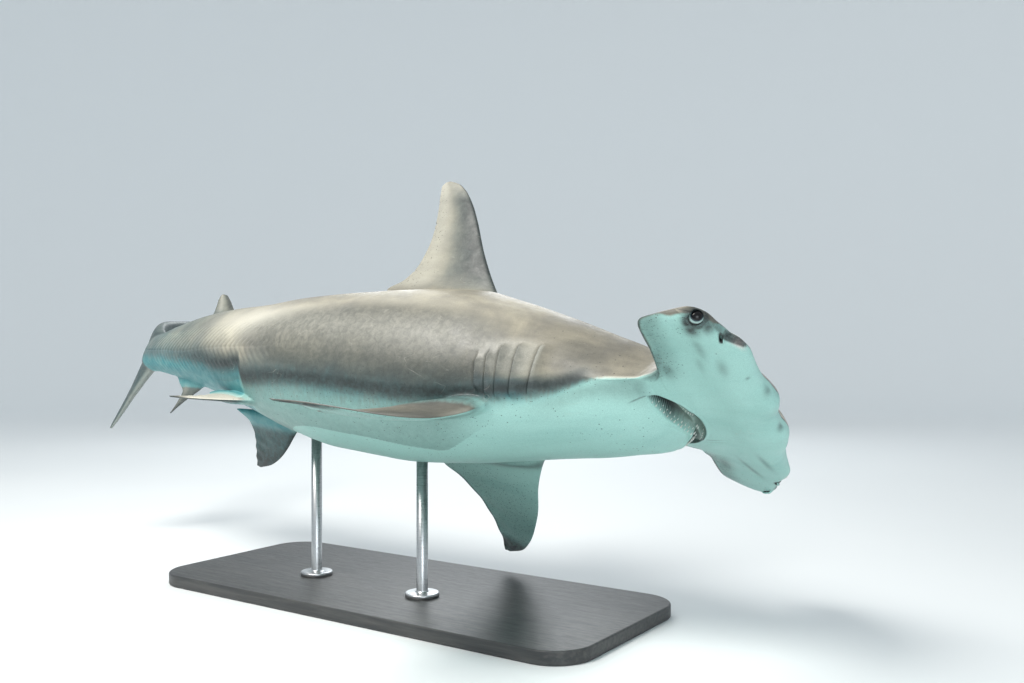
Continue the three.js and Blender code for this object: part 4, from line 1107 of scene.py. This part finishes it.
# Materials
class Graph:
    """A material and short calls that add its nodes."""

    def __init__(self, name):
        self.material = bpy.data.materials.new(name)
        self.material.use_nodes = True
        self.nodes = self.material.node_tree.nodes
        self.links = self.material.node_tree.links
        self.shader = self.nodes["Principled BSDF"]

    def feed(self, socket, value):
        if isinstance(value, bpy.types.NodeSocket):
            self.links.new(value, socket)
        elif isinstance(value, tuple) and len(value) == 3 and len(socket.default_value) == 4:
            socket.default_value = (*value, 1)
        else:
            socket.default_value = value

    def fill(self, node, **values):
        """Feeds a node's inputs by name."""
        for name, value in values.items():
            self.feed(node.inputs[name.replace("_", " ").title().replace("Ior", "IOR")], value)
        return node

    def add(self, kind, **values):
        return self.fill(self.nodes.new("ShaderNode" + kind), **values)

    def surface(self, **values):
        self.fill(self.shader, **values)

    def attribute(self, name, output="Fac"):
        node = self.add("Attribute")
        node.attribute_name = name
        return node.outputs[output]

    def place(self):
        return self.add("NewGeometry").outputs["Position"]

    def part(self, vector, axis):
        return self.add("SeparateXYZ", vector=vector).outputs[axis]

    def math(self, operation, a, b=0.0):
        node = self.add("Math")
        node.operation = operation
        self.feed(node.inputs[0], a)
        self.feed(node.inputs[1], b)
        return node.outputs[0]

    def times(self, a, b):
        return self.math("MULTIPLY", a, b)

    def plus(self, a, b):
        return self.math("ADD", a, b)

    def minus(self, a, b):
        return self.math("SUBTRACT", a, b)

    def swing(self, noise, size):
        """A noise moved to swing about zero."""
        return self.times(self.minus(noise, 0.5), size)

    def vector_math(self, operation, vector):
        node = self.add("VectorMath")
        node.operation = operation
        self.feed(node.inputs[0], vector)
        return node

    def scaled(self, vector, scale):
        node = self.vector_math("MULTIPLY", vector)
        node.inputs[1].default_value = scale
        return node.outputs[0]

    def shaded(self, colour, value):
        """The colour times a value."""
        return self.fill(self.vector_math("SCALE", colour), scale=value).outputs[0]

    def length(self, vector):
        return self.vector_math("LENGTH", vector).outputs["Value"]

    def noise(self, vector, scale, detail=4.0, roughness=0.55, distortion=0.0):
        node = self.add(
            "TexNoise", vector=vector, scale=scale, detail=detail, roughness=roughness, distortion=distortion
        )
        return node.outputs["Fac"]

    def dots(self, vector, scale, size, density):
        """Round dots in cells of 1/scale metre; density is the share of the cells that have one."""
        cells = self.add("TexVoronoi", vector=vector, scale=scale)
        chosen = self.add("SeparateColor", color=cells.outputs["Color"])
        radius = self.times(chosen.outputs[1], size)
        inside = self.fade(self.minus(radius, cells.outputs["Distance"]), 0.0, 0.08)
        return self.times(inside, self.math("LESS_THAN", chosen.outputs[0], density))

    def fade(self, value, start, end, low=0.0, high=1.0):
        """Runs softly from low to high while the value runs from start to end."""
        node = self.add("MapRange", value=value, from_min=start, from_max=end, to_min=low, to_max=high)
        node.interpolation_type = "SMOOTHSTEP"
        return node.outputs["Result"]

    def mix(self, share, a, b):
        """The colour a where the share is 0, and b where it is 1."""
        node = self.add("Mix")
        node.data_type = "RGBA"
        for socket, value in zip((0, 6, 7), (share, a, b)):
            self.feed(node.inputs[socket], value)
        return node.outputs[2]

    def bump(self, height, distance, strength):
        node = self.add("Bump", strength=strength, distance=distance, height=height)
        return node.outputs["Normal"]


# Colours
TAN = (0.34, 0.31, 0.235)
BROWN_GREY = (0.17, 0.16, 0.135)
TEAL_GREY = (0.075, 0.15, 0.165)
TAIL_TEAL = (0.035, 0.235, 0.265)
# the pale belly, with the teal of the light under water painted into it, in two tones
BELLY = (0.385, 0.665, 0.61)
BELLY_SHADE = (0.3, 0.56, 0.515)
# the dark of the dusky marks and specks, and of the painted shade
DARK_MARK_AND_SHADE = (0.022, 0.03, 0.03)
# the cream of the pale marks and scratches, and of the painted light and highlights
CREAM_AND_HIGHLIGHT = (0.62, 0.6, 0.52)
# the pink of the nostrils' lips, and of the painted highlight along the front edge
FLUSH_AND_HIGHLIGHT = (0.78, 0.66, 0.62)
PALATE = (0.19, 0.28, 0.245)
# the painted shade deep in the mouth
THROAT_SHADE = (0.012, 0.02, 0.02)
PUPIL = (0.002, 0.002, 0.003)
IRIS_DARK, IRIS_LIGHT = (0.012, 0.022, 0.035), (0.05, 0.075, 0.09)
EYE_RIM = (0.3, 0.42, 0.4)
EYE_SIDE = (0.03, 0.035, 0.035)
ENAMEL, ENAMEL_STAIN = (0.66, 0.7, 0.66), (0.4, 0.42, 0.36)
BOARD_DARK, BOARD_LIGHT = (0.03, 0.032, 0.034), (0.062, 0.062, 0.06)
STEEL_DARK, STEEL_LIGHT = (0.46, 0.47, 0.48), (0.6, 0.61, 0.62)
FLOOR_DARK, FLOOR_LIGHT, WALL = (0.71, 0.74, 0.755), (0.75, 0.775, 0.785), (0.9, 0.93, 0.95)


def skin_material():
    g = Graph("shark_skin")
    rest = g.attribute("rest", "Vector")
    along = g.scaled(rest, (0.3, 1.0, 1.0))
    brushed = g.scaled(rest, (1.0, 0.35, 0.22))
    mottle = g.noise(rest, 5.5, 6, 0.6, 0.4)
    streaks = g.noise(along, 34, 5, 0.6)
    grain = g.noise(rest, 420, 3, 0.6)
    brush = g.noise(brushed, 120, 4, 0.6)
    blotch = g.noise(rest, 24, 5, 0.62, 0.6)

    # the back and the belly, and the border between them, brushed and blotched
    wobble = g.plus(g.swing(brush, 1.7), g.swing(blotch, 1.2))
    pale = g.fade(g.plus(g.attribute("pale"), wobble), -1.0, 1.0)
    back = g.mix(g.fade(mottle, 0.3, 0.72), TAN, BROWN_GREY)
    back = g.mix(g.times(g.attribute("teal"), g.fade(blotch, 0.25, 0.8, 0.7, 1.0)), back, TEAL_GREY)
    back = g.shaded(back, g.fade(streaks, 0.3, 0.72, 0.88, 1.14))
    belly = g.mix(g.fade(g.noise(along, 7, 5, 0.6, 0.5), 0.42, 0.75), BELLY, BELLY_SHADE)
    belly = g.mix(g.times(g.attribute("teal"), g.fade(blotch, 0.25, 0.8, 0.8, 1.0)), belly, TAIL_TEAL)
    colour = g.mix(pale, back, belly)
    # painted light and shade on the muscle ridges: lighter on each ridge, darker between them
    colour = g.shaded(colour, g.fade(g.attribute("ridge"), 0.0, 0.9, 0.87, 1.16))

    # the pale marks and the painted light, the dark marks and the painted shade, and the inside of the mouth
    colour = g.mix(g.times(g.attribute("light"), g.fade(blotch, 0.2, 0.6, 0.88, 1.0)), colour, CREAM_AND_HIGHLIGHT)
    colour = g.mix(g.attribute("flush_and_rim_highlight"), colour, FLUSH_AND_HIGHLIGHT)
    broken = g.fade(g.noise(rest, 60, 6, 0.7, 0.5), 0.28, 0.7, 0.84, 1.12)
    dusk = g.math("MINIMUM", g.times(g.attribute("dusk"), broken), 1.0)
    colour = g.mix(dusk, colour, DARK_MARK_AND_SHADE)
    # the inside of the mouth: the palate's colour, darkening to painted shade deeper in
    inside = g.mix(g.fade(g.part(rest, 0), 0.252, 0.29), PALATE, THROAT_SHADE)
    inside = g.shaded(inside, g.fade(blotch, 0.3, 0.7, 0.75, 1.2))
    colour = g.mix(g.attribute("mouth"), colour, inside)

    # specks, single dots, faint scratches and the grain
    speckle = g.dots(rest, 250, 0.5, g.times(g.attribute("speckle"), 0.7))
    colour = g.mix(g.times(speckle, 0.66), colour, DARK_MARK_AND_SHADE)
    colour = g.mix(g.times(g.dots(rest, 62, 0.12, 0.07), 0.3), colour, DARK_MARK_AND_SHADE)
    lines = g.noise(g.scaled(rest, (0.4, 1.0, 1.0)), 9, 2, 0.5, 1.2)
    thin = g.fade(g.math("ABSOLUTE", g.minus(lines, 0.5)), 0.0045, 0.0015)
    scratched = g.times(thin, g.fade(g.noise(rest, 13, 2), 0.52, 0.66))
    colour = g.mix(g.times(scratched, 0.16), colour, CREAM_AND_HIGHLIGHT)
    colour = g.shaded(colour, g.fade(grain, 0.25, 0.75, 0.9, 1.09))

    height = g.plus(g.times(grain, 0.5), g.times(scratched, -0.8))
    height = g.plus(height, g.times(streaks, 0.7))
    g.surface(
        base_color=colour, roughness=g.fade(blotch, 0.3, 0.7, 0.4, 0.56), normal=g.bump(height, 0.0012, 0.55),
        specular_ior_level=0.42, coat_weight=0.06, coat_roughness=0.3,
    )
    return g.material


skin.data.materials.append(skin_material())
FLESH = [
    "head", "lower_jaw", "neck_with_gills", "torso_front", "torso_rear", "tail_stalk", "pectoral_fin_left",
    "pectoral_fin_right", "pelvic_fin_left", "pelvic_fin_right", "dorsal_fin_first", "dorsal_fin_second",
    "anal_fin", "caudal_fin_upper_lobe", "caudal_fin_lower_lobe",
]
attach(skin, "root")
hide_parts(*FLESH)


# Eyes: a dark ball with a wide pupil, a blue-grey ring and a pale rim towards the lid
def eye_material():
    g = Graph("eye_glass")
    gaze = g.attribute("gaze", "Vector")
    fibres = g.noise(g.scaled(gaze, (1.0, 1.0, 0.2)), 14, 4, 0.6)
    ring = g.plus(g.minus(1.0, g.part(gaze, 2)), g.swing(fibres, 0.05))
    colour = g.mix(g.fade(ring, 0.26, 0.29), PUPIL, g.mix(g.fade(fibres, 0.3, 0.7), IRIS_DARK, IRIS_LIGHT))
    colour = g.mix(g.fade(ring, 0.36, 0.42), colour, EYE_RIM)
    colour = g.mix(g.fade(ring, 0.6, 0.7), colour, EYE_SIDE)
    g.surface(
        base_color=colour, roughness=g.fade(fibres, 0.3, 0.7, 0.16, 0.24), specular_ior_level=0.3,
        coat_weight=0.1, coat_roughness=0.12,
    )
    return g.material


EYE_SEGMENTS = 128
PUPIL_TURN = (0.08, 0.3)  # how far the pupil is turned from the socket's axis, forward and up


def eye(side, name, node):
    """One eye's ball, with its pupil turned the way it looks."""
    ball = egg(on_side(EYE_PLACE, side), [EYE_RADIUS] * 3, segments=EYE_SEGMENTS)
    made = new_object(name, *ball)
    axes = gaze_axes(side)
    looking = axes[2] + np.array([-PUPIL_TURN[0], 0, PUPIL_TURN[1]])
    looking /= np.linalg.norm(looking)
    upright = np.cross(looking, axes[0])
    upright /= np.linalg.norm(upright)
    outwards = unit_ball(EYE_SEGMENTS)[0]
    store(made, "gaze", outwards @ np.array([np.cross(upright, looking), upright, looking]).T)
    made.data.materials.append(eye_material())
    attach(made, "root")
    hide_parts(node)


eye(1, "eye_ball_left", "eye_left")
eye(-1, "eye_ball_right", "eye_right")


# Teeth: narrow blades with bent tips, in two rows along the jaw's edge and one behind the upper lip.
# Each row: how many, along which edge, how far behind it, how far sunk, pointing up or down, the
# size in metres, how far they lean back and how much of the mouth's width the row takes.
TOOTH_ROWS = [
    (25, jaw_edge, -0.0009, -0.0008, 1, 0.0058, 0.45, 0.9),
    (22, jaw_edge, -0.0027, 0.0012, 1, 0.0052, 0.3, 0.84),
    (21, upper_lip, 0.0024, 0.0046, -1, 0.0036, -0.2, 0.6),
]
TOOTH_RINGS, TOOTH_SIDES = 7, 10


def tooth(spot, size, turned, lean, pointing):
    """One tooth as (points, triangles): flat, with a root sunk in the gum and a tip bent sideways."""
    rings = []
    for t in np.arange(TOOTH_RINGS) / (TOOTH_RINGS - 1):
        wide = size * (0.52 * (1 - t) ** 0.75 + 0.05 * (1 - t) + 0.012)
        thick = size * (0.2 * (1 - t) ** 0.6 + 0.015)
        rise = size * (1.35 * t - 0.3)
        ring = []
        for cosine, sine in spokes(TOOTH_SIDES):
            x, y = wide * cosine, thick * sine
            across = x * math.cos(turned) - y * math.sin(turned) + 0.22 * size * t * t
            back = x * math.sin(turned) + y * math.cos(turned) - rise * lean
            ring.append(spot + np.array([back, across, rise * pointing]) / LENGTH)
        rings.append(ring)
    return loft(rings)


def skin_level(back, across):
    """The underside's level at a place, without the mouth."""
    back, across = np.atleast_1d(back).astype(float), np.atleast_1d(across).astype(float)
    depth = back - front_margin(np.abs(across))
    return float(level(depth, across, False, reach_at(depth))[0])


def teeth():
    """All the teeth as one mesh: largest in the middle, each a little out of line."""
    rng = np.random.default_rng(11)
    made = []
    for count, edge, set_back, sunk, pointing, size, lean, reach in TOOTH_ROWS:
        for k in range(count):
            share = ((2 * k) / (count - 1) - 1) * reach
            across = MOUTH_HALF_WIDTH * share + rng.uniform(-0.0003, 0.0003)
            back = float(edge(across)) + set_back
            spot = np.array([back, across, skin_level(back, across) + sunk])
            grown = size * (1 - 0.4 * share * share) * rng.uniform(0.75, 1.12)
            turned = rng.uniform(-0.25, 0.25)
            made.append(tooth(spot, grown, turned, lean + rng.uniform(-0.12, 0.12), pointing))
    return joined(made)


def tooth_material():
    g = Graph("tooth_enamel")
    rest = g.attribute("rest", "Vector")
    stain = g.noise(rest, 90, 4, 0.6)
    g.surface(
        base_color=g.mix(g.fade(stain, 0.4, 0.75), ENAMEL, ENAMEL_STAIN),
        roughness=g.fade(stain, 0.3, 0.7, 0.2, 0.4), normal=g.bump(stain, 0.0003, 0.4),
    )
    return g.material


teeth_points, teeth_triangles = teeth()
teeth_made = new_object("teeth", teeth_points, teeth_triangles)
store(teeth_made, "rest", unplace(teeth_points) * LENGTH)
teeth_made.data.materials.append(tooth_material())
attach(teeth_made, "root")

# The stand: a rounded board and two turned rods whose tops follow the belly
BASE = dict(length=1.5, width=0.62, thickness=0.036, corner=0.11, edge=0.005)
ROD = dict(radius=0.016, foot=0.048, foot_height=0.012, chamfer=0.004, collar=0.006, shares=(0.312, 0.44))
GAP = 0.0003
CORNER_STEPS = 24
ROD_SIDES = 72
RAY_START = 0.05  # over the foot, where the search for the belly starts


def ring_solid(rings, name):
    """A closed smooth object through rings of equal count, with flat ends."""
    return new_object(name, *loft(rings, bent=False))


def quarter_round(size, steps):
    """A rounded edge's profile, as (how far in, how far up), from the face below to the side."""
    return [(size * (1 - math.sin(a)), size * (1 - math.cos(a))) for a in np.linspace(0, math.pi / 2, steps)]


def rounded_outline(inset):
    outline = []
    half_x, half_y, r = BASE["length"] / 2 - inset, BASE["width"] / 2 - inset, BASE["corner"] - inset
    for quarter, (sx, sy) in enumerate([(1, 1), (-1, 1), (-1, -1), (1, -1)]):
        for step in range(CORNER_STEPS + 1):
            a = math.pi / 2 * (quarter + step / CORNER_STEPS)
            outline.append((sx * (half_x - r) + r * math.cos(a), sy * (half_y - r) + r * math.sin(a)))
    return outline


def stand_base():
    lower = quarter_round(BASE["edge"], 9)
    upper = [(inset, BASE["thickness"] - z) for inset, z in reversed(lower)]
    rings = [[(x, y, z) for x, y in rounded_outline(inset)] for inset, z in lower + upper]
    return ring_solid(rings, "base_board")


def stand_rod(share, name, belly):
    """A rod on its turned foot, its top cut along the belly above it."""
    x0, y0, _ = place([share, 0, 0])
    bottom = BASE["thickness"] + GAP
    flange = bottom + ROD["foot_height"]
    r = ROD["radius"]
    profile = [(ROD["foot"], bottom)]
    profile += [(ROD["foot"] - u, flange - v) for v, u in quarter_round(ROD["chamfer"], 7)]
    profile += [(r + u, flange + v) for u, v in quarter_round(ROD["collar"], 8)]
    rings = [[(x0 + q * x, y0 + q * y, z) for x, y in spokes(ROD_SIDES)] for q, z in profile]
    for q in (r, r * 0.6, r * 0.2):
        ring = []
        for x, y in spokes(ROD_SIDES):
            at_x, at_y = x0 + q * x, y0 + q * y
            hit = belly.ray_cast(Vector((at_x, at_y, flange + RAY_START)), Vector((0, 0, 1)))[0]
            ring.append((at_x, at_y, hit.z - GAP))
        rings.append(ring)
    return ring_solid(rings, name)


def board_material():
    g = Graph("stand_board")
    fibre = g.noise(g.scaled(g.place(), (0.6, 9.0, 9.0)), 9, 6, 0.6, 0.4)
    fine = g.noise(g.scaled(g.place(), (4.0, 60.0, 60.0)), 9, 3, 0.6)
    height = g.plus(g.times(fine, 0.6), fibre)
    g.surface(
        base_color=g.mix(g.fade(fibre, 0.35, 0.7), BOARD_DARK, BOARD_LIGHT),
        roughness=g.fade(fine, 0.3, 0.7, 0.38, 0.52), normal=g.bump(height, 0.0004, 0.35),
    )
    return g.material


def rod_material():
    g = Graph("brushed_steel")
    rings = g.noise(g.scaled(g.place(), (1.0, 1.0, 40.0)), 30, 3, 0.6)
    g.surface(
        base_color=g.mix(g.fade(rings, 0.3, 0.7), STEEL_DARK, STEEL_LIGHT), metallic=1.0,
        roughness=g.fade(rings, 0.3, 0.7, 0.26, 0.4), normal=g.bump(rings, 0.0002, 0.3),
    )
    return g.material


belly_tree = BVHTree.FromPolygons(skin_points.tolist(), skin_triangles.tolist())
board = stand_base()
board.data.materials.append(board_material())
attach(board, "root")
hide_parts("stand_base")
rod_finish = rod_material()
for rod_share, rod_name in zip(ROD["shares"], ("front", "rear")):
    rod = stand_rod(rod_share, f"rod_{rod_name}", belly_tree)
    rod.data.materials.append(rod_finish)
    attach(rod, "root")
    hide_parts(f"stand_rod_{rod_name}")

# Camera, floor and light
AZIMUTH = math.radians(34.14)
PHOTO_WIDTH = 1024
FOCAL_PIXELS = 1000
SENSOR = 36.0
CAMERA_PLACE = (1.912, -2.255, 0.750)
camera_data = bpy.data.cameras.new("camera")
camera_data.sensor_width = SENSOR
camera_data.lens = FOCAL_PIXELS / PHOTO_WIDTH * SENSOR
camera = linked("camera", camera_data)
camera.location = CAMERA_PLACE
camera.rotation_euler = (math.pi / 2, 0, AZIMUTH)
bpy.context.scene.camera = camera


def floor_material():
    g = Graph("studio_floor")
    soft = g.noise(g.place(), 0.7, 3, 0.5)
    colour = g.mix(soft, FLOOR_DARK, FLOOR_LIGHT)
    colour = g.mix(g.fade(g.length(g.place()), 2.5, 9.0), colour, WALL)
    g.surface(base_color=colour, roughness=g.fade(soft, 0.3, 0.7, 0.65, 0.8))
    return g.material


FLOOR_RADIUS, WALL_BEND, WALL_TOP = 9.0, 4.0, 8.0
FLOOR_SIDES = 96


def sweep():
    """A round floor that curves up into a wall far behind everything."""
    profile = [(4.0, 0.0), (FLOOR_RADIUS, 0.0)]
    for i in range(1, 17):
        a = math.pi / 2 * i / 16
        profile.append((FLOOR_RADIUS + WALL_BEND * math.sin(a), WALL_BEND * (1 - math.cos(a))))
    profile.append((FLOOR_RADIUS + WALL_BEND, WALL_TOP))
    points, faces = [(0.0, 0.0, 0.0)], []
    for radius, z in profile:
        points += [(radius * x, radius * y, z) for x, y in spokes(FLOOR_SIDES)]
    for j in range(FLOOR_SIDES):
        k = (j + 1) % FLOOR_SIDES
        faces.append((0, 1 + j, 1 + k))
        for i in range(len(profile) - 1):
            row = 1 + i * FLOOR_SIDES
            above = row + FLOOR_SIDES
            faces.append((row + j, above + j, above + k, row + k))
    mesh = bpy.data.meshes.new("floor")
    mesh.from_pydata(points, [], faces)
    mesh.polygons.foreach_set("use_smooth", [True] * len(faces))
    made = linked("floor", mesh)
    made.data.materials.append(floor_material())


sweep()

# name, place, what it is aimed at, size, power and colour
LAMPS = [
    ("key", (-0.6, -2.4, 4.0), (0, 0, 0.7), 2.0, 230, (1, 0.965, 0.91)),
    ("front_fill", (3.8, -3.4, 1.4), (0.3, 0, 0.7), 2.6, 60, (0.9, 0.97, 1)),
    ("back_fill", (-2.5, 4.0, 3.2), (0, 0, 0.7), 3.0, 90, (0.95, 0.98, 1)),
]
SKY, SKY_STRENGTH = (0.88, 0.94, 0.97, 1), 0.62


def area_light(name, spot, target, size, power, colour):
    data = bpy.data.lights.new(name, "AREA")
    data.shape = "DISK"
    data.size = size
    data.energy = power
    data.color = colour
    made = linked(name, data)
    made.location = spot
    made.rotation_euler = (Vector(target) - Vector(spot)).to_track_quat("-Z", "Y").to_euler()


for lamp in LAMPS:
    area_light(*lamp)
world = bpy.data.worlds.new("studio")
bpy.context.scene.world = world
world.use_nodes = True
sky = world.node_tree.nodes["Background"]
sky.inputs["Color"].default_value = SKY
sky.inputs["Strength"].default_value = SKY_STRENGTH
bpy.context.scene.view_settings.view_transform = "Standard"
